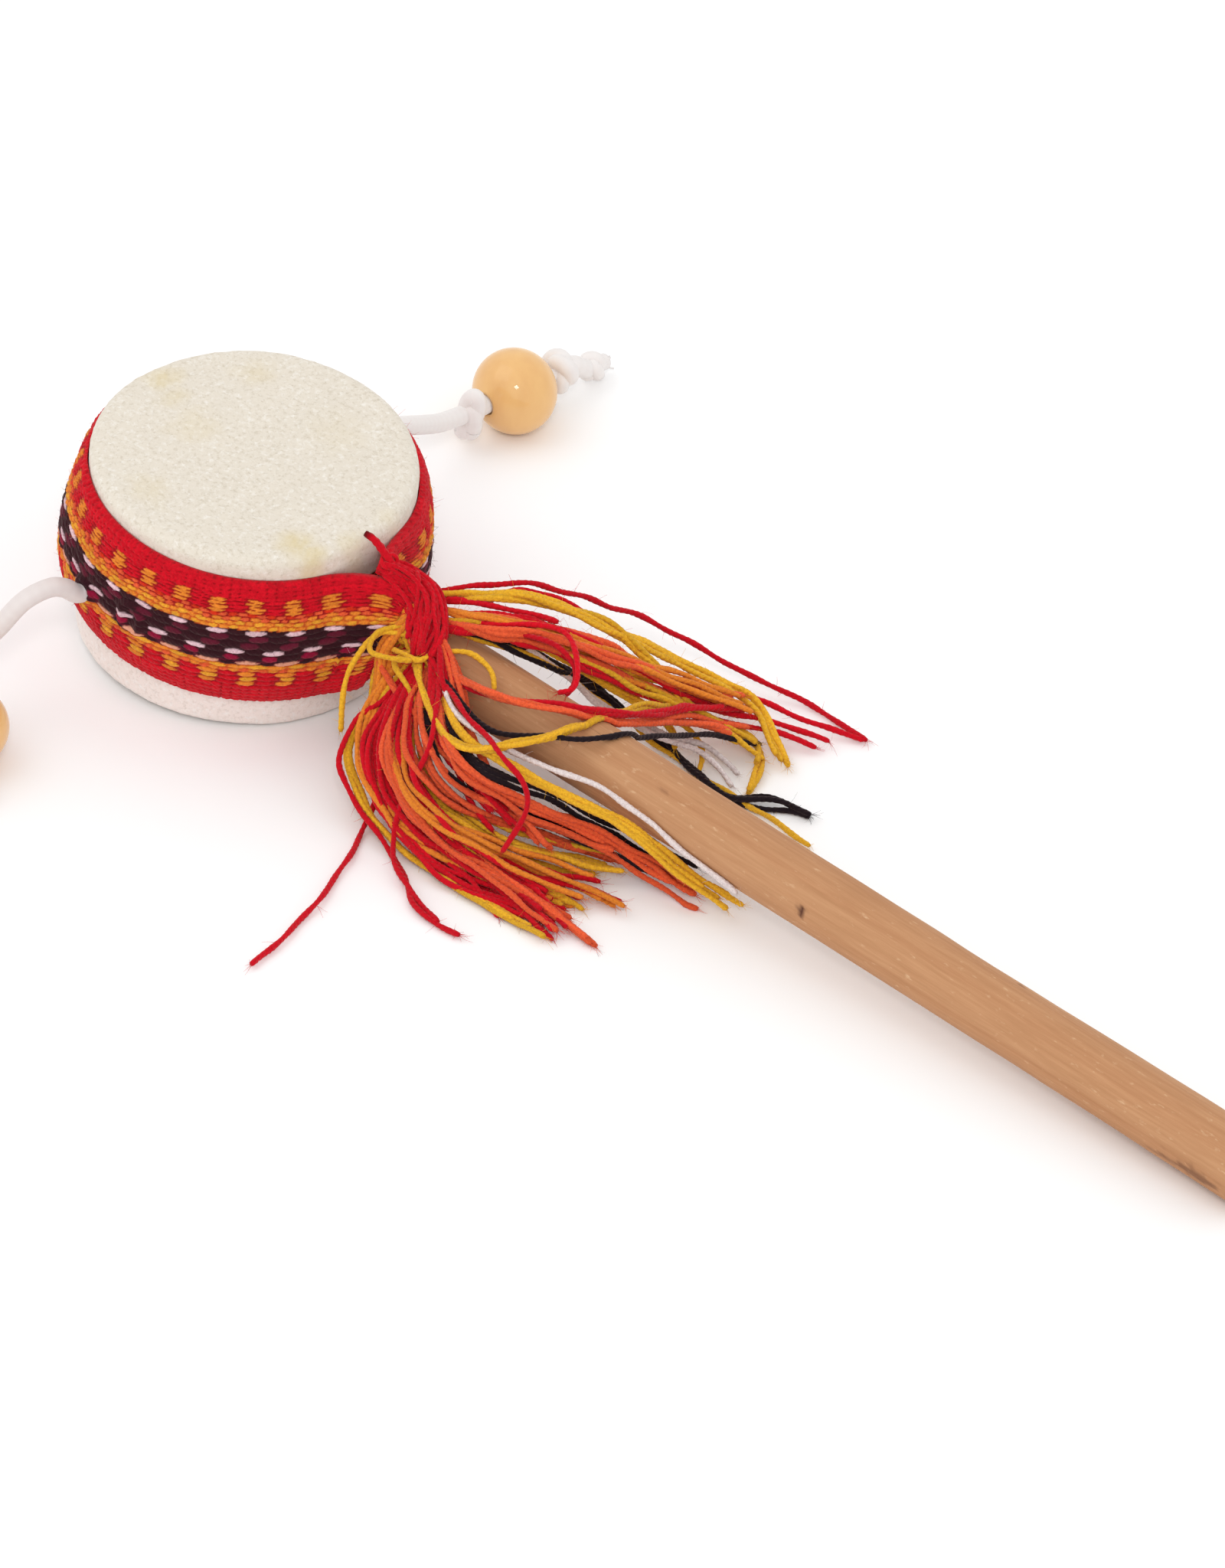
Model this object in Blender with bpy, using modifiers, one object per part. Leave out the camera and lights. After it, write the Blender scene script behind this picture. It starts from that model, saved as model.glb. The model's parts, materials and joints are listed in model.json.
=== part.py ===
"""A small two-headed rattle drum: a wooden ring with a skin over each end, a stick handle through its
side, a woven wool band tied round it with a loose fringe, and a wooden bead on a cord at each side.
It lies as it comes to rest: tipped over on its lower rim and on the far end of its handle.

Metres, +Z up, +X along the handle. The origin is under the middle of the drum, handle, band and beads,
at the height of the surface that they lie on. Run with: blender --background --python part.py"""

import math

import bmesh
import bpy
import numpy as np
from mathutils import Matrix, Vector

MM = 0.001

# The drum, over its skins.
DRUM_RADIUS = 28.0 * MM
DRUM_HEIGHT = 37.4 * MM
RIM_ROUND = 2.0 * MM
SKIN = 1.0 * MM
SKIRT = 9.0 * MM
WALL = 4.0 * MM
GAP = 0.3 * MM
TURNS = 56

# The stick, measured from the drum's axis. It is even up to its flare and a little thicker at its end.
HANDLE_RADIUS = 6.1 * MM
HANDLE_END_RADIUS = 6.4 * MM
HANDLE_FLARE = 180.0 * MM
HANDLE_REACH = 227.0 * MM
HANDLE_CHAMFER = 0.8 * MM
HANDLE_TURNS = 32

# The band: its edges lie flat and its middle stands proud. It sits a little lower at the handle than behind.
BAND_WIDTH = 26.2 * MM
BAND_EDGE = 1.0 * MM
BAND_BULGE = 3.3 * MM
BAND_MIDDLE = 2.1 * MM
BAND_SLANT = 1.2 * MM
BAND_OPENING = math.radians(14.5)
BAND_STEPS = 54
BAND_ROWS = 7

# The cords, their knots and the beads.
CORD_RADIUS = 1.7 * MM
CORD_POINT_SPACING = 4.0 * MM
BEAD_RADIUS = 7.5 * MM
BEAD_TURNS = 24
BORE_RADIUS = 2.0 * MM
KNOT_RADIUS = 4.2 * MM
KNOT_BORE_RADIUS = 2.2 * MM
KNOT_LENGTH = 5.6 * MM
KNOT_TURNS = 16
END_KNOT_RADIUS = 2.9 * MM
END_KNOT_SHAPE = [(0.0, 0.7), (0.2, 0.95), (0.5, 1.0), (0.8, 0.97), (1.0, 0.8)]
CORD_HOLE_RADIUS = CORD_RADIUS + GAP

# Where each cord leaves the shell: the angle round the drum from the handle, and the height on its axis.
CORD_HOLES = {
    "near": (math.radians(-106.0), 1.0 * MM),
    "far": (math.radians(94.0), 1.6 * MM),
}

# Each bead's middle and the way its bore points, away from the drum. The cord comes straight out of its
# hole, goes along "out", through its inner knot, the bead and its outer knot in line, and lies along
# "tail" to its knotted end. Places are in millimetres from the point of the surface under the drum's middle.
SIDES = {
    "near": {
        "bead": (-10.8, -59.1, 7.5),
        "bore": (0.56, -0.70, -0.29),
        "out": [
            (-10.1, -35.3, 24.0), (-11.2, -38.2, 25.0), (-13.0, -42.6, 23.6), (-15.6, -45.8, 18.4),
            (-18.2, -47.6, 14.4),
        ],
        "tail": [(-0.3, -73.9, 3.0)],
        "end": [(0.0, -74.6, 3.0), (1.8, -78.0, 3.0)],
    },
    "far": {
        "bead": (-4.5, 74.2, 7.5),
        "bore": (0.12, 0.99, -0.07),
        "out": [
            (-3.0, 38.6, 20.3), (-3.8, 44.3, 17.2), (-4.8, 50.3, 13.5), (-5.7, 55.8, 10.3),
        ],
        "tail": [(-2.5, 89.4, 5.0), (-2.6, 90.9, 4.0)],
        "end": [(-2.6, 91.6, 3.6), (-2.7, 95.9, 3.0)],
    },
}
# Where the two knots sit from the bead's middle, and where the cord is still in line with its bore.
KNOT_FROM_BEAD = 10.2
IN_LINE_FROM_BEAD = 13.2
INSIDE_BEAD = 5.0

# The red binding over the root of the handle: a place on its line in millimetres, and its radius there.
BINDING = [
    ((33.6, 4.0, 11.2), 2.6), ((37.2, 1.6, 11.4), 3.8), ((41.6, -2.4, 10.7), 3.5), ((45.4, -6.4, 8.3), 3.0),
]
BINDING_POINT_SPACING = 2.2 * MM

# The two sides of the fringe, from root to tips, in millimetres from the point under the drum's middle:
# place along the handle, place across it, half width, underside, top.
FRINGES = {
    "near": [
        (34.0, -10.5, 3.4, 14.0, 27.0), (40.0, -12.2, 5.2, 8.5, 26.0), (47.0, -14.6, 7.5, 3.5, 23.0),
        (56.0, -17.3, 10.1, 0.6, 18.0), (68.0, -19.1, 12.0, 0.6, 13.0), (82.0, -19.7, 12.5, 0.6, 9.0),
        (95.0, -19.3, 11.4, 0.6, 6.0), (104.0, -18.6, 8.0, 0.6, 3.0),
    ],
    "far": [
        (35.5, 8.6, 2.4, 23.0, 30.0), (42.0, 11.6, 4.4, 18.0, 29.0), (50.0, 15.6, 7.8, 11.0, 26.5),
        (60.0, 20.9, 12.6, 4.5, 21.5), (72.0, 26.6, 18.0, 0.6, 16.0), (85.0, 30.6, 21.0, 0.6, 10.5),
        (96.0, 32.9, 19.0, 0.6, 6.0), (105.0, 34.0, 13.0, 0.6, 3.0),
    ],
}
FRINGE_SIDES = 12


def tip_angle():
    """How far the drum tips, so that its lower rim and the end of its handle touch the same surface."""
    rise = DRUM_HEIGHT / 2 - RIM_ROUND - HANDLE_END_RADIUS
    run = HANDLE_REACH - DRUM_RADIUS + RIM_ROUND
    return math.asin(RIM_ROUND / math.hypot(rise, run)) + math.atan2(rise, run)


def drum_middle_height(tip):
    """The height of the drum's middle above the surface that its lower rim touches."""
    upright = (DRUM_HEIGHT / 2 - RIM_ROUND) * math.cos(tip)
    return upright + (DRUM_RADIUS - RIM_ROUND) * math.sin(tip) + RIM_ROUND


def clear_scene():
    for obj in list(bpy.data.objects):
        bpy.data.objects.remove(obj, do_unlink=True)


def collection(name):
    made = bpy.data.collections.new(name)
    bpy.context.scene.collection.children.link(made)
    return made


def material(name, colour, roughness, sheen=0.0):
    made = bpy.data.materials.new(name)
    made.use_nodes = True
    shader = made.node_tree.nodes["Principled BSDF"]
    shader.inputs["Base Color"].default_value = (*colour, 1.0)
    shader.inputs["Roughness"].default_value = roughness
    shader.inputs["Metallic"].default_value = 0.0
    shader.inputs["Sheen Weight"].default_value = sheen
    made.diffuse_color = (*colour, 1.0)
    return made


def add_object(name, data, where, finish=None):
    made = bpy.data.objects.new(name, data)
    where.objects.link(made)
    if finish:
        data.materials.append(finish)
    return made


def arc(middle, radius, start, end, steps):
    """Points of an arc from one angle to another, in degrees, both ends included."""
    angles = np.radians(np.linspace(start, end, steps + 1))
    return [(middle[0] + radius * math.cos(a), middle[1] + radius * math.sin(a)) for a in angles]


def turned(name, profile, where, finish, steps, ring=False):
    """A turned solid about Z: the profile of (radius, height) runs down its outer side."""
    count = len(profile)
    edges = [(i, i + 1) for i in range(count - 1)]
    if ring:
        edges.append((count - 1, 0))
    mesh = bpy.data.meshes.new(name)
    mesh.from_pydata([(radius, 0.0, height) for radius, height in profile], edges, [])
    made = add_object(name, mesh, where, finish)
    screw = made.modifiers.new("turn", "SCREW")
    screw.axis = "Z"
    screw.angle = 2 * math.pi
    screw.steps = steps
    screw.render_steps = steps
    screw.use_merge_vertices = True
    screw.merge_threshold = 0.00001
    screw.use_smooth_shade = True
    return made


def loft(name, rings, where, finish):
    """A closed solid through sections of equal point count, given root to tip, with flat ends."""
    rings = np.asarray(rings)
    count, sides = rings.shape[:2]
    shape = bmesh.new()
    points = [[shape.verts.new(p) for p in ring] for ring in rings]
    for i in range(count - 1):
        for j in range(sides):
            k = (j + 1) % sides
            shape.faces.new((points[i][j], points[i][k], points[i + 1][k], points[i + 1][j]))
    shape.faces.new(points[0])
    shape.faces.new(points[-1])
    bmesh.ops.recalc_face_normals(shape, faces=shape.faces)
    mesh = bpy.data.meshes.new(name)
    shape.to_mesh(mesh)
    shape.free()
    mesh.shade_smooth()
    mesh.set_sharp_from_angle(angle=math.radians(50))
    return add_object(name, mesh, where, finish)


def smooth_line(points, spacing):
    """A Catmull-Rom curve through the points, read off at even steps of about the spacing."""
    p = np.asarray(points, float)
    p = np.vstack([2 * p[0] - p[1], p, 2 * p[-1] - p[-2]])
    t = np.linspace(0, 1, 24, endpoint=False)[:, None]
    pieces = []
    for a, b, c, d in zip(p[:-3], p[1:-2], p[2:-1], p[3:], strict=True):
        cubic = (3 * b - a - 3 * c + d) * t**3 + (2 * a - 5 * b + 4 * c - d) * t**2
        pieces.append((cubic + (c - a) * t + 2 * b) / 2)
    line = np.vstack([*pieces, p[-2]])
    along = np.concatenate([[0], np.cumsum(np.linalg.norm(np.diff(line, axis=0), axis=1))])
    at = np.linspace(0, along[-1], round(along[-1] / spacing) + 1)
    return np.stack([np.interp(at, along, line[:, axis]) for axis in range(3)], axis=1)


def tube(name, points, radii, where, finish, resolution=2):
    """A round tube along the points, with closed ends and a radius at each point."""
    curve = bpy.data.curves.new(name, "CURVE")
    curve.dimensions = "3D"
    curve.bevel_depth = 1.0
    curve.bevel_resolution = resolution
    curve.use_fill_caps = True
    spline = curve.splines.new("POLY")
    spline.points.add(len(points) - 1)
    for point, place, radius in zip(spline.points, points, radii, strict=True):
        point.co = (*place, 1.0)
        point.radius = radius
    return add_object(name, curve, where, finish)


def cutter(name, start, end, radius, where):
    """A cylinder from one point to another that cuts a round hole."""
    start = Vector(start)
    end = Vector(end)
    shape = bmesh.new()
    bmesh.ops.create_cone(
        shape, cap_ends=True, segments=24, radius1=radius, radius2=radius, depth=(end - start).length
    )
    mesh = bpy.data.meshes.new(name)
    shape.to_mesh(mesh)
    shape.free()
    made = add_object(name, mesh, where)
    made.location = (start + end) / 2
    made.rotation_euler = (end - start).to_track_quat("Z", "Y").to_euler()
    made.hide_render = True
    made.display_type = "WIRE"
    return made


def cut(obj, tool):
    step = obj.modifiers.new("cut_" + tool.name, "BOOLEAN")
    step.operation = "DIFFERENCE"
    step.object = tool


def rim_profile(radius, half_height, rounding):
    """The upper outer corner of the drum as (radius, height) points, from its flat top down to its side."""
    return arc((radius - rounding, half_height - rounding), rounding, 90, 0, 4)


def make_shell(where, finish):
    radius = DRUM_RADIUS - SKIN - GAP
    half = DRUM_HEIGHT / 2 - SKIN - GAP
    upper = rim_profile(radius, half, RIM_ROUND - SKIN - GAP)
    lower = [(r, -z) for r, z in reversed(upper)]
    bore = radius - WALL
    profile = [(bore, half), *upper, *lower, (bore, -half)]
    return turned("drum_shell", profile, where, finish, TURNS, ring=True)


def make_head(name, up, where, finish):
    """A skin: a flat disc with a rounded rim and a skirt down the side of the shell."""
    half = DRUM_HEIGHT / 2
    outer = rim_profile(DRUM_RADIUS, half, RIM_ROUND)
    inner = rim_profile(DRUM_RADIUS - SKIN, half - SKIN, RIM_ROUND - SKIN)
    hem = half - SKIRT
    profile = [(0.0, half), *outer, (DRUM_RADIUS, hem), (DRUM_RADIUS - SKIN, hem)]
    profile += [*reversed(inner), (0.0, half - SKIN)]
    if not up:
        profile = [(r, -z) for r, z in reversed(profile)]
    return turned(name, profile, where, finish, TURNS)


def make_handle(where, finish):
    """The stick, turned about Z and laid along +X: from the far wall of the shell to its free end."""
    root = -(DRUM_RADIUS - SKIN - 2 * GAP)
    profile = [(0.0, HANDLE_REACH), (HANDLE_END_RADIUS - HANDLE_CHAMFER, HANDLE_REACH)]
    profile += [(HANDLE_END_RADIUS, HANDLE_REACH - HANDLE_CHAMFER), (HANDLE_RADIUS, HANDLE_FLARE)]
    profile += [(HANDLE_RADIUS, root), (0.0, root)]
    made = turned("handle", profile, where, finish, HANDLE_TURNS)
    made.rotation_euler = (0.0, math.pi / 2, 0.0)
    return made


def band_section(angle):
    """The band's section at one angle round the drum: flat inside, bulging outside."""
    inner = DRUM_RADIUS + GAP
    half = BAND_WIDTH / 2
    middle = BAND_MIDDLE - BAND_SLANT * math.cos(angle)
    across = np.linspace(-1, 1, BAND_ROWS)
    outer = inner + BAND_EDGE + BAND_BULGE * (1 - across**2)
    radii = [inner, *outer, inner]
    heights = [middle - half, *(middle + across * half), middle + half]
    return [(r * math.cos(angle), r * math.sin(angle), z) for r, z in zip(radii, heights, strict=True)]


def make_band(where, finish):
    angles = np.linspace(BAND_OPENING, 2 * math.pi - BAND_OPENING, BAND_STEPS + 1)
    return loft("woven_band", [band_section(a) for a in angles], where, finish)


def make_binding(where, finish):
    """The wrapped bundle of yarn over the root of the handle, thickest at its knot."""
    places = np.array([place for place, _ in BINDING]) * MM
    radii = np.array([radius for _, radius in BINDING]) * MM
    line = smooth_line(places, BINDING_POINT_SPACING)
    reach = np.linalg.norm(line - line[0], axis=1)
    known = np.linalg.norm(places - places[0], axis=1)
    return tube("tie_binding", line, np.interp(reach, known, radii), where, finish, 3)


def make_fringe(name, stations, where, finish):
    """A fan of loose yarn ends as one solid, with an oval section at each station."""
    turns = np.linspace(0, 2 * math.pi, FRINGE_SIDES, endpoint=False)
    rings = []
    for along, across, half_width, under, top in stations:
        y = across + half_width * np.cos(turns)
        z = (under + top) / 2 + (top - under) / 2 * np.sin(turns)
        rings.append(np.stack([np.full(FRINGE_SIDES, along), y, z], axis=1) * MM)
    return loft(name, rings, where, finish)


def make_bead(name, centre, bore, where, finish):
    """A round bead with a straight bore and softly broken edges at its mouths."""
    half_bore = math.sqrt(BEAD_RADIUS**2 - BORE_RADIUS**2)
    mouth = math.degrees(math.atan2(half_bore, BORE_RADIUS))
    profile = arc((0.0, 0.0), BEAD_RADIUS, mouth, -mouth, 11)
    made = turned(name, profile, where, finish, BEAD_TURNS, ring=True)
    made.location = Vector(centre) * MM
    made.rotation_euler = Vector(bore).to_track_quat("Z", "Y").to_euler()
    return made


def make_knot(name, centre, along, where, finish):
    """A knot drawn tight, as a plump ring round its own cord."""
    wall = (KNOT_RADIUS - KNOT_BORE_RADIUS) / 2
    profile = arc((KNOT_BORE_RADIUS + wall, 0.0), wall, 180, -144, 9)
    profile = [(r, z * KNOT_LENGTH / 2 / wall) for r, z in profile]
    made = turned(name, profile, where, finish, KNOT_TURNS, ring=True)
    made.location = Vector(centre) * MM
    made.rotation_euler = Vector(along).to_track_quat("Z", "Y").to_euler()
    return made


def hole_line(side, tip):
    """Points along a cord's hole through the shell and the band, in millimetres above the surface."""
    angle, height = CORD_HOLES[side]
    to_floor = Matrix.Translation((0, 0, drum_middle_height(tip))) @ Matrix.Rotation(tip, 4, "Y")
    inner = DRUM_RADIUS - SKIN - WALL
    outer = DRUM_RADIUS + BAND_EDGE + BAND_BULGE + CORD_RADIUS
    radii = np.linspace(inner, outer, 4)
    return [to_floor @ Vector((r * math.cos(angle), r * math.sin(angle), height)) / MM for r in radii]


def make_side(side, tip, where, cord_finish, bead_finish):
    """One cord with what is on it: inner knot, bead, outer knot and the knotted end."""
    facts = SIDES[side]
    bead = np.array(facts["bead"])
    bore = np.array(facts["bore"]) / np.linalg.norm(facts["bore"])
    to_bead = (-IN_LINE_FROM_BEAD, -KNOT_FROM_BEAD, -INSIDE_BEAD)
    past_bead = (INSIDE_BEAD, KNOT_FROM_BEAD, IN_LINE_FROM_BEAD)
    in_line = [bead + bore * step for step in (*to_bead, 0.0, *past_bead)]
    route = [*hole_line(side, tip), *facts["out"], *in_line, *facts["tail"]]
    line = smooth_line(route, CORD_POINT_SPACING / MM) * MM
    start, end = (np.array(place) for place in facts["end"])
    end_line = [(start + (end - start) * share) * MM for share, _ in END_KNOT_SHAPE]
    plump = [END_KNOT_RADIUS * share for _, share in END_KNOT_SHAPE]
    return [
        tube(side + "_cord", line, [CORD_RADIUS] * len(line), where, cord_finish),
        make_knot(side + "_inner_knot", in_line[1], bore, where, cord_finish),
        make_bead(side + "_bead", bead, bore, where, bead_finish),
        make_knot(side + "_outer_knot", in_line[-2], bore, where, cord_finish),
        tube(side + "_end_knot", end_line, plump, where, cord_finish, 3),
    ]


def box_of(objects):
    """The lowest and highest corner of the objects as they are shown."""
    bpy.context.view_layer.update()
    graph = bpy.context.evaluated_depsgraph_get()
    corners = []
    for obj in objects:
        shown = obj.evaluated_get(graph)
        mesh = shown.to_mesh()
        corners += [shown.matrix_world @ v.co for v in mesh.vertices]
        shown.to_mesh_clear()
    corners = np.array(corners)
    return corners.min(axis=0), corners.max(axis=0)


def main():
    clear_scene()
    model = collection("pellet_drum")
    tools = collection("cutters")
    skin = material("skin", (0.80, 0.75, 0.66), 0.75)
    shell_wood = material("shell_wood", (0.52, 0.34, 0.18), 0.65)
    stick_wood = material("stick_wood", (0.56, 0.31, 0.14), 0.60)
    bead_wood = material("bead_wood", (0.83, 0.49, 0.19), 0.35)
    band_wool = material("band_wool", (0.60, 0.02, 0.02), 0.90, 0.3)
    fringe_wool = material("fringe_wool", (0.85, 0.18, 0.04), 0.90, 0.3)
    binding_wool = material("binding_wool", (0.60, 0.01, 0.02), 0.90, 0.3)
    cord_braid = material("cord_braid", (0.80, 0.79, 0.76), 0.55)

    tip = tip_angle()
    floor_pose = bpy.data.objects.new("floor_pose", None)
    drum_pose = bpy.data.objects.new("drum_pose", None)
    for empty in (floor_pose, drum_pose):
        model.objects.link(empty)
    drum_pose.parent = floor_pose
    drum_pose.location = (0.0, 0.0, drum_middle_height(tip))
    drum_pose.rotation_euler = (0.0, tip, 0.0)

    shell = make_shell(model, shell_wood)
    band = make_band(model, band_wool)
    handle = make_handle(model, stick_wood)
    heads = [make_head("upper_head", True, model, skin), make_head("lower_head", False, model, skin)]
    binding = make_binding(model, binding_wool)

    handle_cut = cutter(
        "handle_hole", (-2 * DRUM_RADIUS, 0, 0), (2 * DRUM_RADIUS, 0, 0), HANDLE_RADIUS + GAP, tools
    )
    cut(shell, handle_cut)
    cord_cuts = []
    for side, (angle, height) in CORD_HOLES.items():
        way = Vector((math.cos(angle), math.sin(angle), 0.0))
        start = way * (DRUM_RADIUS / 2) + Vector((0, 0, height))
        end = way * (DRUM_RADIUS * 1.5) + Vector((0, 0, height))
        hole = cutter(side + "_cord_hole", start, end, CORD_HOLE_RADIUS, tools)
        cut(shell, hole)
        cut(band, hole)
        cord_cuts.append(hole)
    for obj in (shell, band, handle, *heads, binding, handle_cut, *cord_cuts):
        obj.parent = drum_pose

    fringes = [
        make_fringe(side + "_fringe", stations, model, fringe_wool) for side, stations in FRINGES.items()
    ]
    sides = [make_side(side, tip, model, cord_braid, bead_wood) for side in SIDES]
    for obj in (*fringes, *sides[0], *sides[1]):
        obj.parent = floor_pose

    beads = [obj for obj in (*sides[0], *sides[1]) if obj.name.endswith("_bead")]
    low, high = box_of([shell, band, handle, *heads, binding, *fringes, *beads])
    floor_pose.location = (-(low[0] + high[0]) / 2, -(low[1] + high[1]) / 2, -low[2])


main()
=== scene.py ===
# A small two-headed rattle drum with a woven wool band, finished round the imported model.
import json

import bpy
import numpy as np
from mathutils import Matrix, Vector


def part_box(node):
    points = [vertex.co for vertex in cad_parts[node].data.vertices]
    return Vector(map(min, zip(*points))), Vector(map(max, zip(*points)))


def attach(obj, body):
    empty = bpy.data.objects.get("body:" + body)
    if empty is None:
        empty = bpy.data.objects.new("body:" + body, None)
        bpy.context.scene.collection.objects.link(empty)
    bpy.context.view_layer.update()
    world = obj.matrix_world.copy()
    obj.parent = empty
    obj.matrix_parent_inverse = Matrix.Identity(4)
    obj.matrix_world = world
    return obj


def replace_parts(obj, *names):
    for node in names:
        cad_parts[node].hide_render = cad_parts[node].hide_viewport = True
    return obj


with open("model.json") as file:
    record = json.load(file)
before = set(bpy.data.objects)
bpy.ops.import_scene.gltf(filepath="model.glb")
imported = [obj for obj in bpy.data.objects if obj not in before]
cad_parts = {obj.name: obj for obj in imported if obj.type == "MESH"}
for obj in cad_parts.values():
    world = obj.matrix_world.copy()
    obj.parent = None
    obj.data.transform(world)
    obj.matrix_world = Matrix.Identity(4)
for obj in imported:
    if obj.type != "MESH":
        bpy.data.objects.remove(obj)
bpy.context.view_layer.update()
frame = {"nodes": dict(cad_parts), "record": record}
mm = 0.001

# The drum's own directions: along the stick, across it, and up through the skins.
mounts = {mount["name"]: mount for mount in frame["record"]["mounts"]}
stickAxis = np.array(mounts["handle_end"]["axis"])
drumAxes = np.array([stickAxis, (0.0, 1.0, 0.0), mounts["upper_face"]["axis"]])
drumCentre = np.array([corner[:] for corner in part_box("drum_shell")]).mean(axis=0)
footPoint = drumCentre * [1, 1, 0]
stickReach = (np.array(mounts["handle_end"]["pos_m"]) - drumCentre) @ stickAxis / mm

# The drum as it is built, in millimetres: its radius, half its height, the rounding of its rims and
# the thickness of its skins. Relief that only the scene has stands on these surfaces.
drum = {"radius": 28.0, "halfHeight": 18.7, "rimRound": 2.0, "skin": 1.0}

# Screen colours from 0 to 255.
palette = {
    "crimson": (230, 16, 38),
    "coral": (255, 104, 60),
    "emberRed": (236, 58, 28),
    "orange": (255, 150, 52),
    "gold": (255, 194, 50),
    "amber": (255, 178, 54),
    # A darker orange and a darker crimson for the gaps between the band's floats: painted shade.
    "rust": (226, 100, 40),
    "brick": (176, 18, 30),
    "ink": (60, 24, 32),
    "plum": (108, 28, 50),
    "maroon": (160, 18, 60),
    "blush": (252, 214, 222),
    "salmon": (252, 176, 146),
    "black": (38, 28, 34),
    "white": (252, 238, 234),
}

# The light is this much stronger than would show a white floor as white, so that soft shadows
# stay pale.
lightGain = 1.1

# A direction that no line here runs along.
skewWay = (0.31, 0.27, 0.91)


def linear(colour):
    # Undoes the screen's gamma curve and the strong light, so that a render shows the colour named.
    share = np.asarray(colour, float) / 255
    dark, bright = share / 12.92, ((share + 0.055) / 1.055) ** 2.4
    return np.where(share <= 0.04045, dark, bright) / lightGain


def fromDrum(points):
    # Millimetres along the stick, across it and up from the drum's middle, as metres in the row
    # frame.
    return drumCentre + np.asarray(points, float) @ drumAxes * mm


def toDrum(places):
    # The same, the other way round.
    return (np.asarray(places) - drumCentre) @ drumAxes.T / mm


def fromFloor(points):
    # Millimetres from the point of the floor under the drum's middle, as metres in the row frame.
    return footPoint + np.asarray(points, float) * mm


def unit(vectors):
    # The same directions with a length of one.
    return vectors / np.linalg.norm(vectors, axis=-1, keepdims=True)


def axisFrame(way):
    # Two directions square to a third, and the third.
    way = unit(np.array(way))
    side = unit(np.cross(way, [0.2, 0.1, 1.0]))
    return side, np.cross(way, side), way


def softNoise(points, size, seed, waves=28):
    # A smooth random field, mostly between -1 and 1: sine waves that cross in random directions,
    # added up and divided by the root of their number.
    slowest, quickest, limit = 0.6, 1.6, 1.6
    chance = np.random.default_rng(seed)
    points = np.asarray(points, float)
    ways = unit(chance.normal(size=(waves, points.shape[-1])))
    ways = ways * chance.uniform(slowest, quickest, (waves, 1))
    phases = chance.uniform(0, 2 * np.pi, waves)
    field = np.sin(points @ ways.T * (2 * np.pi / size) + phases).sum(axis=-1)
    return np.clip(field / np.sqrt(waves), -limit, limit)


def smoothStep(low, high, value):
    # Rises from 0 at low to 1 at high, level at both.
    share = np.clip((value - low) / (high - low), 0, 1)
    return share * share * (3 - 2 * share)


def travelled(line):
    # The distance gone at each point of a line.
    return np.concatenate([[0], np.cumsum(np.linalg.norm(np.diff(line, axis=0), axis=1))])


def smoothLine(points, step, perSpan=24):
    # A Catmull-Rom curve through the points, read off at even steps.
    p = np.asarray(points, float)
    p = np.vstack([2 * p[0] - p[1], p, 2 * p[-1] - p[-2]])
    a, b, c, d = (p[i : len(p) - 3 + i, None] for i in range(4))
    t = np.linspace(0, 1, perSpan, endpoint=False)[None, :, None]
    cubic = (3 * b - a - 3 * c + d) * t**3 + (2 * a - 5 * b + 4 * c - d) * t**2
    cubic = cubic + (c - a) * t + 2 * b
    line = np.vstack([(cubic / 2).reshape(-1, 3), p[-2]])
    along = travelled(line)
    at = np.linspace(0, along[-1], max(round(along[-1] / step), 2) + 1)
    return np.stack([np.interp(at, along, line[:, axis]) for axis in range(3)], axis=1)


def trefoil(facts, count, turn=0.0):
    # A knot that runs twice round while it swings in and out and up and down three times: its
    # reach is a radius plus a swing times the cosine of three turns, and its height a rise times
    # their sine.
    t = np.linspace(0, 2 * np.pi, count)
    reach = facts["radius"] + facts["swing"] * np.cos(3 * t)
    around = 2 * t + turn
    height = facts["rise"] * np.sin(3 * t)
    return np.stack([reach * np.cos(around), reach * np.sin(around), height], axis=1)


def aroundTurns(sides):
    # Even angles once round, as one row.
    return np.linspace(0, 2 * np.pi, sides, endpoint=False)[None]


def gridFaces(rings, sides):
    # Quads between neighbouring rings, and each corner's ring and side before it wraps.
    ring, side = (part.ravel() for part in np.mgrid[0 : rings - 1, 0:sides])
    ringCorners = np.stack([ring, ring, ring + 1, ring + 1], axis=1)
    sideCorners = np.stack([side, side + 1, side + 1, side], axis=1)
    return ringCorners * sides + sideCorners % sides, ringCorners, sideCorners


def capFaces(middle, ring, inward=False):
    # A fan of triangles from a middle vertex to a ring.
    following = np.roll(ring, -1)
    pair = (following, ring) if inward else (ring, following)
    return np.stack([np.full(len(ring), middle), *pair], axis=1)


def closedRings(rings, middles, uvRule=None):
    # Rings of points joined by quads, with a fan of triangles round a middle point at each end.
    # The rule gives the quads' UV from each corner's ring and side.
    count, sides = rings.shape[:2]
    quads, ringCorners, sideCorners = gridFaces(count, sides)
    ring, total = np.arange(sides), count * sides
    caps = [capFaces(total, ring, inward=True), capFaces(total + 1, ring + total - sides)]
    uv = None
    if uvRule:
        uv = np.stack(uvRule(ringCorners, sideCorners), axis=-1).reshape(-1, 2)
        capCorners = 2 * sides * 3
        uv = np.vstack([uv, np.zeros((capCorners, 2))])
    return np.vstack([rings.reshape(-1, 3), middles]), quads, np.vstack(caps), uv


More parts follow.
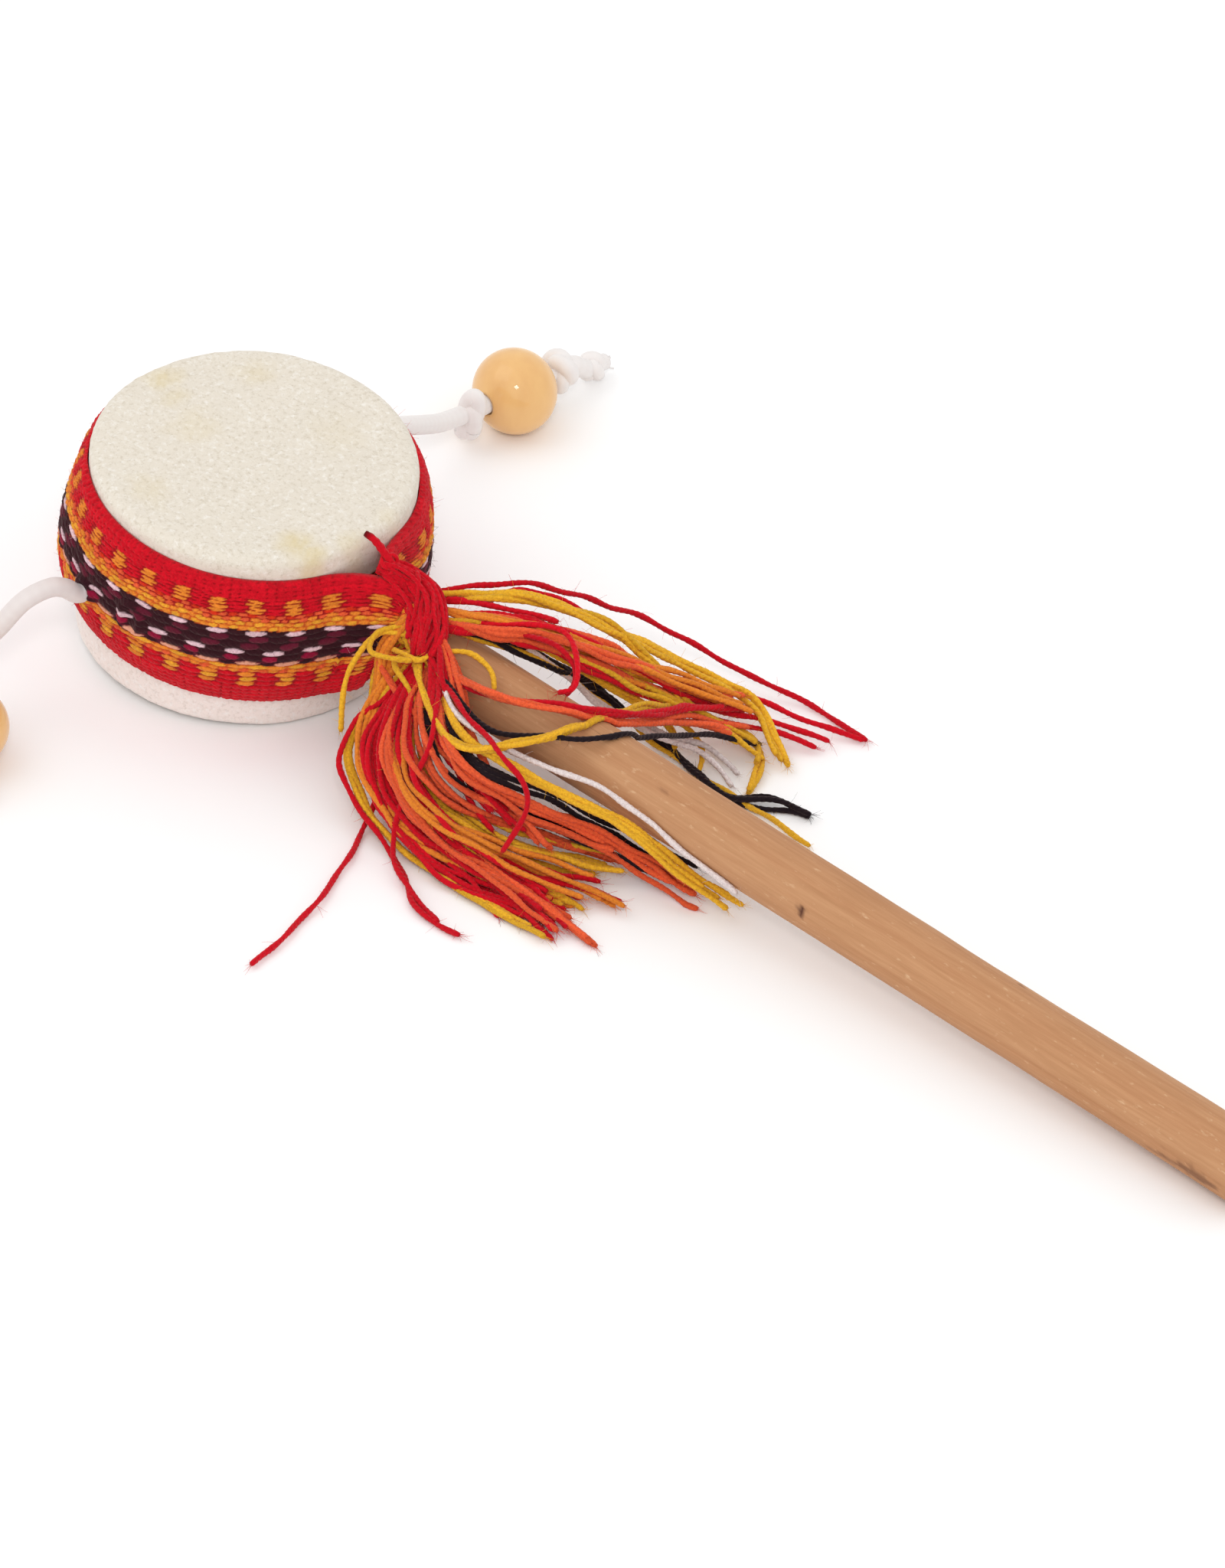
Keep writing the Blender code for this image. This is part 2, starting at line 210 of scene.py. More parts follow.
def carriedFrame(line):
    # Two directions square to a line at each point, carried along without twisting: the slip of a
    # rough direction against its neighbour's is added up and turned back.
    tangent = unit(np.gradient(line, axis=0))
    rough = unit(np.cross(tangent, skewWay))
    beside = np.cross(tangent, rough)
    carried = rough[:-1] - tangent[1:] * (rough[:-1] * tangent[1:]).sum(1, keepdims=True)
    slip = np.arctan2((carried * beside[1:]).sum(1), (carried * rough[1:]).sum(1))
    start = np.concatenate([[0], np.cumsum(slip)])[:, None]
    first = rough * np.cos(start) + beside * np.sin(start)
    return first, np.cross(tangent, first)


def tubeArrays(line, radius, sides, pitch=1.2):
    # Rings of points round a line, with a radius for each point of each ring. The UV map runs
    # twice across each turn, once more for each pitch along, and in centimetres the other way.
    line = np.asarray(line, float)
    first, second = carriedFrame(line)
    turns = aroundTurns(sides)[..., None]
    along = travelled(line)
    outward = first[:, None] * np.cos(turns) + second[:, None] * np.sin(turns)
    size = np.broadcast_to(radius, (len(line), sides))
    rings = line[:, None] + outward * size[..., None]

    def twist(ring, side):
        return side / sides * 2 + along[ring] / pitch, along[ring] / 10

    return closedRings(rings, line[[0, -1]], twist)


# The rings of a hair, and the points of a ring.
hairRings, hairSides = 4, 3


def hairArrays(roots, ways, lengths, thickness, chance):
    # Loose fibres: each a thin three-sided tube that leans out from its root, bends and thins.
    share = np.linspace(0, 1, hairRings)[None, :, None]
    bend = chance.normal(size=(len(roots), 1, 3)) * 0.6
    lines = roots[:, None] + (ways[:, None] * share + bend * share**2) * lengths[:, None, None]
    side = unit(np.cross(ways, chance.normal(size=ways.shape)))[:, None, None]
    other = np.cross(ways[:, None, None], side)
    turns = aroundTurns(hairSides)[0][None, None, :, None]
    width = thickness * (1 - 0.6 * share)[..., None]
    points = lines[:, :, None] + (side * np.cos(turns) + other * np.sin(turns)) * width
    quads, _, _ = gridFaces(hairRings, hairSides)
    firsts = (np.arange(len(roots)) * hairRings * hairSides)[:, None, None]
    quads = (quads[None] + firsts).reshape(-1, 4)
    ends = np.array([(0, 2, 1), np.arange(3) + (hairRings - 1) * hairSides])
    tris = (ends[None] + firsts).reshape(-1, 3)
    return points.reshape(-1, 3), quads, tris, np.zeros((len(quads) * 4 + len(tris) * 3, 2))


def joinArrays(parts):
    # Several meshes as one: each part's face numbers move up by the points before it.
    firsts = np.cumsum([0] + [len(part[0]) for part in parts[:-1]])
    points = np.vstack([part[0] for part in parts])
    quads, tris = (
        np.vstack([part[kind] + first for part, first in zip(parts, firsts)]) for kind in (1, 2)
    )
    quadUv = [part[3][: len(part[1]) * 4] for part in parts]
    triUv = [part[3][len(part[1]) * 4 :] for part in parts]
    return points, quads, tris, np.vstack(quadUv + triUv)


def placedArrays(arrays, place):
    # The same mesh with its points in the row frame.
    return (place(arrays[0]), *arrays[1:])


def addObject(name, data):
    thing = bpy.data.objects.new(name, data)
    bpy.context.scene.collection.objects.link(thing)
    return thing


def makePiece(name, arrays, material, attributes=None):
    # Points, quads, triangles and each face corner's UV become a mesh with smooth faces. An
    # attribute has one number or one colour for each point.
    points, quads, tris, uv = arrays
    tris = np.asarray(tris, int).reshape(-1, 3)
    corners = np.concatenate([quads.ravel(), tris.ravel()]).astype(np.int32)
    sizes = np.concatenate([np.full(len(quads), 4), np.full(len(tris), 3)])
    mesh = bpy.data.meshes.new(name)
    mesh.vertices.add(len(points))
    mesh.vertices.foreach_set("co", np.asarray(points, np.float32).ravel())
    mesh.loops.add(len(corners))
    mesh.loops.foreach_set("vertex_index", corners)
    mesh.polygons.add(len(sizes))
    mesh.polygons.foreach_set("loop_start", (np.cumsum(sizes) - sizes).astype(np.int32))
    mesh.update(calc_edges=True)
    mesh.shade_smooth()
    if uv is not None:
        layer = mesh.uv_layers.new(name="UVMap")
        layer.uv.foreach_set("vector", np.asarray(uv, np.float32).ravel())
    for key, values in (attributes or {}).items():
        values = np.asarray(values, np.float32)
        if values.ndim == 1:
            mesh.attributes.new(key, "FLOAT", "POINT").data.foreach_set("value", values)
        else:
            rgba = np.hstack([values, np.ones((len(values), 1), np.float32)]).ravel()
            mesh.attributes.new(key, "FLOAT_COLOR", "POINT").data.foreach_set("color", rgba)
    mesh.materials.append(material)
    piece = addObject(name, mesh)
    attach(piece, "root")
    return piece


def woolPiece(name, yarns, place, slot, material, node):
    # Meshes with their points' colours, joined as one piece.
    arrays = placedArrays(joinArrays([arrays for arrays, _ in yarns]), place)
    tones = np.vstack([tone for _, tone in yarns])
    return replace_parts(makePiece(name, arrays, material, {"woolColour": tones}), node)


def toned(arrays, tone):
    # A mesh with one colour for all its points.
    return arrays, np.broadcast_to(tone, (len(arrays[0]), 3))


def newMaterial(name):
    material = bpy.data.materials.new(name)
    material.use_nodes = True
    return material, material.node_tree


def setInputs(tree, node, inputs):
    # Links any socket among the values to its input, and sets the rest as plain values.
    for key, value in inputs.items():
        if isinstance(value, bpy.types.NodeSocket):
            tree.links.new(value, node.inputs[key])
        else:
            node.inputs[key].default_value = value
    return node


def addNode(tree, kind, inputs=None, **settings):
    # A shader node with its settings and its inputs.
    node = tree.nodes.new("ShaderNode" + kind)
    for key, value in settings.items():
        setattr(node, key, value)
    return setInputs(tree, node, inputs or {})


def mapped(tree, vector=None, rotation=(0, 0, 0), location=(0, 0, 0), scale=(1, 1, 1)):
    # Coordinates, the object's own if none are given, stretched, turned and moved.
    if vector is None:
        vector = addNode(tree, "TexCoord").outputs["Object"]
    inputs = {"Vector": vector, "Rotation": rotation, "Location": location, "Scale": scale}
    return addNode(tree, "Mapping", inputs).outputs["Vector"]


def noise(tree, vector, scale, detail=3.0, roughness=0.55):
    inputs = {"Vector": vector, "Scale": scale, "Detail": detail, "Roughness": roughness}
    return addNode(tree, "TexNoise", inputs).outputs["Fac"]


def attribute(tree, name, output="Fac"):
    return addNode(tree, "Attribute", attribute_name=name).outputs[output]


def nodeColour(colour, share=1.0):
    # A screen colour, or a share of it, as a node takes it.
    return (*(linear(colour) * share), 1.0)


def ramp(tree, value, stops):
    # A colour ramp from (place, screen colour) stops.
    node = addNode(tree, "ValToRGB", {"Fac": value})
    elements = node.color_ramp.elements
    while len(elements) < len(stops):
        elements.new(0.5)
    for element, (place, colour) in zip(elements, stops):
        element.position = place
        element.color = nodeColour(colour)
    return node.outputs["Color"]


def grade(tree, value, low, high, top=1.0):
    # A number that rises from 0 to its top while the value goes from low to high.
    inputs = {"Value": value, "From Min": low, "From Max": high, "To Max": top}
    return addNode(tree, "MapRange", inputs).outputs["Result"]


def mixed(tree, factor, first, second, blend="MIX"):
    # The node's colour sockets are its inputs 6 and 7 and its output 2.
    node = addNode(tree, "Mix", data_type="RGBA", blend_type=blend)
    return setInputs(tree, node, {0: factor, 6: first, 7: second}).outputs[2]


def finishMaterial(material, colour, bump=None, **values):
    # Gives the shader its colour, its bump as height, strength and depth, and its plain values.
    tree = material.node_tree
    inputs = {key.replace("_", " "): value for key, value in values.items()}
    inputs["Base Color"] = colour
    if bump:
        node = addNode(tree, "Bump", dict(zip(("Height", "Strength", "Distance"), bump)))
        inputs["Normal"] = node.outputs["Normal"]
    setInputs(tree, tree.nodes["Principled BSDF"], inputs)
    return material


def woolMaterial(name, twistDepth):
    # Wool takes its colour from the mesh, is darker between its hairs, and is twisted along its
    # UV map, one wave to a unit.
    oneWave = 0.3142
    material, tree = newMaterial(name)
    hairs = noise(tree, mapped(tree), 2600.0, 4.0, 0.7)
    shade = ramp(tree, hairs, [(0.3, (206, 196, 200)), (0.6, (255, 255, 255))])
    own = attribute(tree, "woolColour", "Color")
    colour = mixed(tree, 0.8, own, shade, "MULTIPLY")
    plies = addNode(tree, "TexCoord").outputs["UV"]
    wave = {"Vector": plies, "Scale": oneWave, "Distortion": 0.6, "Detail": 1.0}
    height = mixed(tree, twistDepth, hairs, addNode(tree, "TexWave", wave).outputs["Color"])
    return finishMaterial(
        material, colour, (height, 0.7, 0.0003), Roughness=0.95, Specular_IOR_Level=0.1,
        Sheen_Weight=0.12, Sheen_Roughness=0.5, Sheen_Tint=(1.0, 0.75, 0.7, 1.0),
    )


# Screen colours of the two skins' ground, pores, flecks and stains.
skinLooks = {
    "upper": ((234, 225, 210), (204, 192, 172), (248, 243, 234), (222, 202, 146)),
    # The lower skin is painted paler than the upper: painted light that lifts the shade on the
    # drum's underside.
    "lower": ((250, 238, 231), (220, 206, 196), (254, 250, 246), (232, 214, 172)),
}


def skinMaterial(name, look):
    # Scraped rawhide: a pale ground, grey-brown pores, white flecks, stained where the mesh says.
    ground, pore, fleck, stain = look
    material, tree = newMaterial(name)
    place = mapped(tree)
    aside = mapped(tree, location=(0.4, 0.2, 0.1))
    nap = noise(tree, place, 1300.0, 5.0, 0.75)
    pores = grade(tree, noise(tree, place, 1300.0, 5.0, 0.7), 0.5, 0.7, 0.75)
    flecks = grade(tree, noise(tree, aside, 1000.0, 4.0, 0.7), 0.52, 0.7, 0.85)
    patches = grade(tree, noise(tree, place, 75.0, 3.0, 0.6), 0.42, 0.68, 0.3)
    colour = mixed(tree, patches, nodeColour(ground), nodeColour(ground, 0.93))
    for share, other in ((pores, pore), (flecks, fleck), (attribute(tree, "stain"), stain)):
        colour = mixed(tree, share, colour, nodeColour(other))
    return finishMaterial(
        material, colour, (nap, 0.35, 0.0003), Roughness=0.9, Specular_IOR_Level=0.15,
        Sheen_Weight=0.1, Sheen_Roughness=0.6,
    )


def stickMaterial(name):
    # Bare wood turned to the stick: soft streaks and fine flecks along it, darker where the mesh
    # says.
    material, tree = newMaterial(name)
    tilt = float(np.arctan2(stickAxis[2], stickAxis[0]))
    centred = mapped(tree, location=tuple(-drumCentre))
    turned = mapped(tree, centred, rotation=(0, tilt, 0))
    long, longer, short = (mapped(tree, turned, scale=(size, 1, 1)) for size in (0.05, 0.012, 0.4))
    streaks = noise(tree, long, 1500.0, 5.0, 0.65)
    bands = noise(tree, longer, 300.0, 2.0, 0.5)
    flecks = grade(tree, noise(tree, short, 1000.0, 3.0, 0.6), 0.62, 0.76, 0.7)
    grain = [(0.25, (194, 142, 99)), (0.5, (205, 152, 109)), (0.75, (216, 164, 120))]
    broad = ramp(tree, bands, [(0.3, (238, 226, 218)), (0.65, (255, 255, 255))])
    wood = mixed(tree, 0.8, ramp(tree, streaks, grain), broad, "MULTIPLY")
    wood = mixed(tree, flecks, wood, nodeColour((226, 186, 146)))
    wood = mixed(tree, attribute(tree, "stain"), wood, nodeColour((88, 48, 34)))
    return finishMaterial(
        material, wood, (streaks, 0.25, 0.00025), Roughness=0.7, Specular_IOR_Level=0.25
    )


def shellMaterial(name):
    # Plain turned wood, with its figure drawn out along the drum's height.
    material, tree = newMaterial(name)
    figure = noise(tree, mapped(tree, scale=(1, 1, 0.2)), 500.0, 4.0, 0.6)
    wood = ramp(tree, figure, [(0.3, (150, 106, 68)), (0.7, (196, 150, 104))])
    return finishMaterial(material, wood, (figure, 0.3, 0.0003), Roughness=0.7)


def beadMaterial(name):
    # Varnished wood: an even orange-yellow with faint figure under a clear coat.
    material, tree = newMaterial(name)
    figure = noise(tree, mapped(tree, scale=(1, 1, 0.3)), 260.0, 3.0, 0.5)
    wood = ramp(tree, figure, [(0.3, (238, 185, 118)), (0.7, (246, 197, 128))])
    return finishMaterial(
        material, wood, Roughness=0.45, Specular_IOR_Level=0.2,
        Coat_Weight=0.7, Coat_Roughness=0.035,
    )


def cordMaterial(name):
    # A pale silky braid: a painted light sets how pale each cord is, and painted shade greys the
    # gaps between its strands.
    material, tree = newMaterial(name)
    threads = noise(tree, mapped(tree), 2600.0, 3.0, 0.6)
    tone = ramp(tree, attribute(tree, "braidLightAndShade"), [(0.0, (222, 208, 205)), (1.0, (255, 253, 250))])
    return finishMaterial(
        material, tone, (threads, 0.14, 0.0002), Roughness=0.6, Specular_IOR_Level=0.3,
        Sheen_Weight=0.15, Sheen_Roughness=0.4,
    )


bandWool = woolMaterial("band_wool_woven", 0.3)
yarnWool = woolMaterial("fringe_wool_yarn", 0.5)
upperSkin = skinMaterial("drum_skin", skinLooks["upper"])
lowerSkinPaintedLight = skinMaterial("drum_skin_lower_painted_light", skinLooks["lower"])
stickWood = stickMaterial("stick_wood_bare")
beadWood = beadMaterial("bead_wood_varnished")
cordBraid = cordMaterial("cord_braid_pale")
shellSlots = frame["nodes"]["drum_shell"].data.materials
shellSlots.clear()
shellSlots.append(shellMaterial("shell_wood_turned"))
print("materials")

# Camera: over the near side of the handle, and so far off that outlines are nearly parallel. It
# stands square over the drum and looks at a point to the drum's lower right. The aim is in
# millimetres, and the distances are in metres.
cameraView = {
    "right": (0.744, 0.6635, 0.0706),
    "up": (-0.470, 0.4465, 0.761),
    "aim": (61.84, -41.74),
    "distance": 8.0,
    "lens": 1084.8,
    "sensor": 36.0,
    "farthest": 20.0,
}


def aimObject(thing, right, back, place):
    # The object's own right and backward directions, and its place, in the row frame.
    matrix = np.eye(4)
    matrix[:3] = np.stack([right, np.cross(back, right), back, place], axis=1)
    thing.matrix_world = Matrix(matrix)


def makeCamera(facts):
    # It stands off along the direction square to its right and up, and turns to its aim.
    across, up = (np.array(facts[key]) @ drumAxes for key in ("right", "up"))
    place = drumCentre + unit(np.cross(across, up)) * facts["distance"]
    target = drumCentre + (facts["aim"][0] * unit(across) + facts["aim"][1] * unit(up)) * mm
    back = unit(place - target)
    right = unit(np.cross(np.cross(back, across), back))
    data = bpy.data.cameras.new("camera")
    data.lens = facts["lens"]
    data.sensor_width = facts["sensor"]
    data.clip_end = facts["farthest"]
    camera = addObject("camera", data)
    aimObject(camera, right, back, place)
    bpy.context.scene.camera = camera
    return back


cameraWay = makeCamera(cameraView)

# Cords, in millimetres from the floor under the drum's middle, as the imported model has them.
cordFacts = {
    "diameter": 3.4,
    "step": 0.35,
    "sides": 24,
    "strands": 6,
    "plait": 3.4,
    "relief": 0.008,
    # How much darker the painted shade makes the gaps between strands.
    "strandGapShade": 0.12,
    "knotPoints": 161,
    "knotSides": 16,
    "threadSides": 6,
    "near": {
        "route": [
            (-6.3, -22.1, 21.6), (-7.3, -25.6, 21.7), (-8.3, -29.2, 21.8), (-9.3, -32.7, 21.8),
            (-10.1, -35.3, 24.0), (-11.2, -38.2, 25.0), (-13.0, -42.6, 23.6), (-15.6, -45.8, 18.4),
            (-18.2, -47.6, 14.4), (-18.7, -49.3, 11.6), (-16.9, -51.5, 10.6), (-13.8, -55.4, 9.0),
            (-10.8, -59.1, 7.5), (-7.8, -62.8, 6.0), (-4.7, -66.7, 4.4), (-3.0, -68.9, 3.4),
            (-0.3, -73.9, 3.0),
        ],
        "exitPoint": 3,
        "bead": (-10.8, -59.1, 7.5),
        "bore": (0.56, -0.70, -0.29),
        "end": [(-0.5, -73.5, 3.0), (1.8, -78.0, 3.0)],
        # The near cord is painted darker than the far one: painted shade.
        "paintedLight": 0.3,
        "seed": 5,
    },
    "far": {
        "route": [
            (-1.5, 22.9, 21.9), (-1.8, 26.6, 22.0), (-2.0, 30.3, 22.0), (-2.3, 33.9, 22.0),
            (-3.0, 38.6, 20.3), (-3.8, 44.3, 17.2), (-4.8, 50.3, 13.5), (-5.7, 55.8, 10.3),
            (-6.1, 61.1, 8.4), (-5.7, 64.1, 8.2), (-5.1, 69.3, 7.8), (-4.5, 74.2, 7.5),
            (-3.9, 79.2, 7.2), (-3.3, 84.3, 6.8), (-2.9, 87.3, 6.6), (-2.5, 89.4, 5.0),
            (-2.6, 90.9, 4.0),
        ],
        "exitPoint": 3,
        "bead": (-4.5, 74.2, 7.5),
        "bore": (0.12, 0.99, -0.07),
        "end": [(-2.6, 90.6, 4.0), (-2.7, 95.9, 2.8)],
        # The far cord is painted paler than the near one: painted light.
        "paintedLight": 0.65,
        "seed": 6,
    },
}
beadFacts = {
    "radius": 7.5, "bore": 2.0, "boreReach": 0.8, "squash": 0.95, "turns": 72, "rings": 48,
}
knotFacts = {
    "fromBead": 10.2, "radius": 2.2, "swing": 1.0, "rise": 0.8, "yarn": 1.55, "sag": 1.1,
    "inner": (0.45, 1.35, 0.5), "outer": (0.75, 0.85, 1.0), "innerTurn": 0.4, "outerTurn": 1.3,
}
endFacts = {
    "radius": 1.15, "swing": 0.5, "rise": 0.8, "yarn": 1.2, "knotAt": 1.6, "turn": 0.2,
    "core": 1.6, "frays": 16, "fray": 0.17, "fraysFrom": 2.2, "lowest": 0.35,
}


def braidTube(line, radius, sides, taper=1.0):
    # Strands that cross both ways: the swell is the product of two waves that lean opposite ways.
    facts = cordFacts
    lean = travelled(line)[:, None] / facts["plait"] * 2 * np.pi
    turns = aroundTurns(sides) * facts["strands"] / 2
    pattern = np.cos(turns + lean) * np.cos(turns - lean)
    size = radius * taper * (1 - facts["relief"] + facts["relief"] * pattern)
    # The same waves give painted shade, darker in the gaps between strands.
    shade = np.concatenate([(0.5 + 0.5 * pattern).ravel(), [0.5, 0.5]])
    return tubeArrays(line, size, sides), shade


def braidPiece(name, arrays, shade, paintedLight):
    # The higher the cord's painted light, the paler it is; its strands are painted a little paler
    # than the gaps, which take painted shade.
    braidLightAndShade = {"braidLightAndShade": paintedLight + cordFacts["strandGapShade"] * (shade - 0.5)}
    return makePiece(name, placedArrays(arrays, fromFloor), cordBraid, braidLightAndShade)


def knotTube(middle, way, facts, turn, pressed=(1.0, 1.0, 1.0)):
    # A trefoil drawn tight round the cord. It can be pressed, with one share of its size sideways,
    # one upright and one along the cord.
    local = trefoil(facts, cordFacts["knotPoints"], turn) * pressed
    line = np.array(middle) + local @ np.stack(axisFrame(way))
    return braidTube(line, facts["yarn"], cordFacts["knotSides"])


def beadPiece(name, middle, bore, facts):
    # A ball, a little flattened at its bore: an arc from mouth to mouth, then the bore back,
    # turned about its axis.
    mouth = np.arccos(facts["bore"] / facts["radius"])
    arc = np.linspace(mouth, -mouth, facts["rings"])
    outer = np.stack([np.cos(arc), np.sin(arc) * facts["squash"]], axis=1) * facts["radius"]
    back = np.linspace(-facts["boreReach"], facts["boreReach"], 4) * facts["radius"]
    profile = np.vstack([outer, np.stack([np.full(4, facts["bore"]), back], axis=1)])
    turns = aroundTurns(facts["turns"])[0][:, None]
    side, other, way = axisFrame(bore)
    spin = side * np.cos(turns) + other * np.sin(turns)
    rings = np.array(middle) + profile[:, None, :1] * spin[None] + profile[:, None, 1:] * way
    quads, _, _ = gridFaces(len(profile) + 1, facts["turns"])
    quads = quads[:, ::-1] % (len(profile) * facts["turns"])
    arrays = (fromFloor(rings.reshape(-1, 3)), quads, (), None)
    return makePiece(name, arrays, beadWood)


def endPiece(name, ends, paintedLight, seed):
    # The last knot, drawn small, and a tuft of frayed threads that leave it along the cord.
    facts = endFacts
    chance = np.random.default_rng(seed)
    start, finish = np.array(ends[0]), np.array(ends[1])
    way = unit(finish - start)
    core = smoothLine([start, (start + finish) / 2, finish - way * 0.4], 0.3)
    taper = np.linspace(1, 0.9, len(core))[:, None]
    parts = [
        knotTube(start + way * facts["knotAt"], way, facts, facts["turn"]),
        braidTube(core, facts["core"], cordFacts["knotSides"], taper),
    ]
    for _ in range(facts["frays"]):
        lean = chance.normal(size=3) * 0.5
        root = start + way * facts["fraysFrom"] + lean * 0.7
        tip = start + (finish - start) * chance.uniform(0.9, 1.05) + lean * 1.5
        thread = smoothLine([root, (root + tip) / 2 + chance.normal(size=3) * 0.25, tip], 0.4)
        thread[:, 2] = np.maximum(thread[:, 2], facts["lowest"])
        parts.append(braidTube(thread, facts["fray"], cordFacts["threadSides"]))
    arrays = joinArrays([arrays for arrays, _ in parts])
    return braidPiece(name, arrays, np.concatenate([shade for _, shade in parts]), paintedLight)


def makeSide(side):
    # A cord with its bead between two knots, and its end knot.
    facts = cordFacts[side]
    line = smoothLine(facts["route"], cordFacts["step"])
    radius = cordFacts["diameter"] / 2
    braid = braidTube(line, radius, cordFacts["sides"])
    cord = braidPiece(side + "_cord_braid", *braid, facts["paintedLight"])
    bead, bore = np.array(facts["bead"]), unit(np.array(facts["bore"]))
    step = bore * knotFacts["fromBead"]
    knots = []
    sunk = bead - step - [0, 0, knotFacts["sag"]]
    for which, middle in (("inner", sunk), ("outer", bead + step)):
        knot = knotTube(middle, bore, knotFacts, knotFacts[which + "Turn"], knotFacts[which])
        knots.append(braidPiece(f"{side}_{which}_knot_tied", *knot, facts["paintedLight"]))
    inner, outer = knots
    ball = beadPiece(side + "_bead_turned", bead, bore, beadFacts)
    end = endPiece(side + "_end_knot_frayed", facts["end"], facts["paintedLight"], facts["seed"])
    nodes = ("_cord", "_inner_knot", "_outer_knot", "_bead", "_end_knot")
    for piece, node in zip((cord, inner, outer, ball, end), nodes):
        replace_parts(piece, side + node)


makeSide("near")
makeSide("far")
print("cords, knots and beads")

# Skins: pressed flat on top, round at the rim, with a skirt down the shell. The relief is in
# millimetres, as an amount and the sizes of its patches.
skinFacts = {
    "around": 288, "across": 84, "innermost": 0.35, "hemStart": 9.0,
    "relief": 0.06, "nap": (1.3, 4.0), "swell": 0.12, "swellSize": 22.0,
}
# Where each head is stained: along the stick and across it from the middle, radius, strength.
stains = {
    "upper": [
        (20.5, -12.5, 5.0, 0.6), (24.0, -12.8, 4.4, 0.6), (-24.0, 3.5, 4.8, 0.5),
        (26.5, -5.0, 4.0, 0.3), (-19.5, 1.0, 4.0, 0.3), (-12.0, -2.0, 7.0, 0.2),
        (-6.0, -20.0, 6.0, 0.2), (6.0, 14.0, 8.0, 0.12), (-14.0, 16.0, 5.0, 0.25),
        (26.5, 4.0, 3.5, 0.2),
    ],
    "lower": [(12.0, 5.0, 8.0, 0.3), (-14.0, -10.0, 9.0, 0.3), (-4.0, 18.0, 6.0, 0.25)],
}


def skinProfile():
    # Radius and height from the middle of the face over the round rim and down the skirt, and then
    # those of the inside.
    radius, half, rounding, skin = drum.values()
    level = np.linspace(skinFacts["innermost"], radius - rounding, skinFacts["across"])
    corner = np.linspace(0, np.pi / 2, 8)[1:]
    drop = np.linspace(half - rounding, half - skinFacts["hemStart"], 20)[1:]
    face = np.stack([level, np.full_like(level, half)], 1)
    rim = np.stack([np.sin(corner), np.cos(corner)], 1) * rounding
    rim = rim + [radius - rounding, half - rounding]
    outer = np.vstack([face, rim, np.stack([np.full_like(drop, radius), drop], 1)])
    inside = np.array([
        (radius - skin, outer[-1, 1]), (radius - skin, half - rounding),
        (radius - rounding, half - skin), (skinFacts["innermost"], half - skin),
    ])
    return outer, inside


def makeSkin(side, sign, seed, material):
    # The profile is turned about the drum's axis, up for a sign of 1 and down for -1. Soft noise
    # lifts the nap along the profile's normal, and a slow swell keeps the flat face from being
    # dead true.
    outer, inside = skinProfile()
    profile = np.vstack([outer, inside])
    turns = aroundTurns(skinFacts["around"])[0]
    r, z = profile[:, :1], profile[:, 1:] * sign
    rings = np.stack(np.broadcast_arrays(r * np.cos(turns), r * np.sin(turns), z), 2)
    slope = np.gradient(outer, axis=0)
    normal = unit(np.stack([-slope[:, 1], slope[:, 0]], 1))
    normal = np.where((normal @ [0.7, 0.7])[:, None] < 0, -normal, normal)
    grown = rings[: len(outer)]
    fine, coarse = skinFacts["nap"]
    relief = softNoise(grown, fine, seed) * 0.5 + softNoise(grown, coarse, 13) * 0.5
    relief = relief * skinFacts["relief"]
    relief = relief + softNoise(grown, skinFacts["swellSize"], 14) * skinFacts["swell"]
    push = relief * np.minimum(1, outer[:, :1] / 2)
    grown[..., 0] += push * normal[:, :1] * np.cos(turns)
    grown[..., 1] += push * normal[:, :1] * np.sin(turns)
    grown[..., 2] += push * normal[:, 1:] * sign
    half = drum["halfHeight"]
    middles = [[0, 0, half * sign], [0, 0, (half - drum["skin"]) * sign]]
    points, quads, tris, _ = closedRings(rings, middles)
    if sign > 0:
        quads, tris = quads[:, ::-1], tris[:, ::-1]
    stain = np.zeros(len(points))
    ragged = 1 + 0.2 * softNoise(points, 5.0, 21)
    blotch = 0.9 + 0.15 * softNoise(points, 1.6, 22)
    for along, across, size, strength in stains[side]:
        far = np.hypot(points[:, 0] - along, points[:, 1] - across) / size / ragged
        stain = np.maximum(stain, strength * (1 - smoothStep(0.1, 1.0, far)) * blotch)
    arrays = (fromDrum(points), quads, tris, None)
    piece = makePiece(side + "_skin", arrays, material, {"stain": stain})
    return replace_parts(piece, side + "_head")


makeSkin("upper", 1, 11, upperSkin)
makeSkin("lower", -1, 12, lowerSkinPaintedLight)
print("skins")

# The woven band goes round the drum from one leaving angle to the other, and past them its two
# ends leave the drum for the tie. Millimetres and degrees.
bandFacts = {
    "width": 26.2,
    "innerRadius": 28.3,
    "edge": 0.8,
    "bulge": 3.5,  # past its edge, at the middle of its width
    "slack": 2.2,  # less bulge behind
    "strain": 1.3,  # less bulge at the far end
    "crown": 2.4,  # the power of its curve across
    "middle": 2.2,  # its height on the drum
    "slant": -1.2,  # more height at the stick than behind
    "sink": 1.4,  # less height behind
    "climb": 2.4,  # how far the pattern climbs on the near side of the back
    "drop": 2.0,  # and how far it drops at the far end
    "reach": 31.04,  # the radius that its length is counted on
    "leave": 25.0,
    "flap": 11.0,  # each end's length past the leaving angle
    "thickness": 1.5,
    "relief": 0.36,
    "nap": 0.04,
    "tuckFrom": 0.93,  # where its edge turns in, as a share of half its width
    "tuck": 0.45,
    "scallop": 0.1,
    "hole": {"radius": 2.0, "lip": 0.9, "rise": 0.8},
    "along": 560,
    "across": 150,
    "hairs": 1100,
    "hair": 0.03,
    "ridge": 1.1,
    "ridgeSlant": 1.2,
}
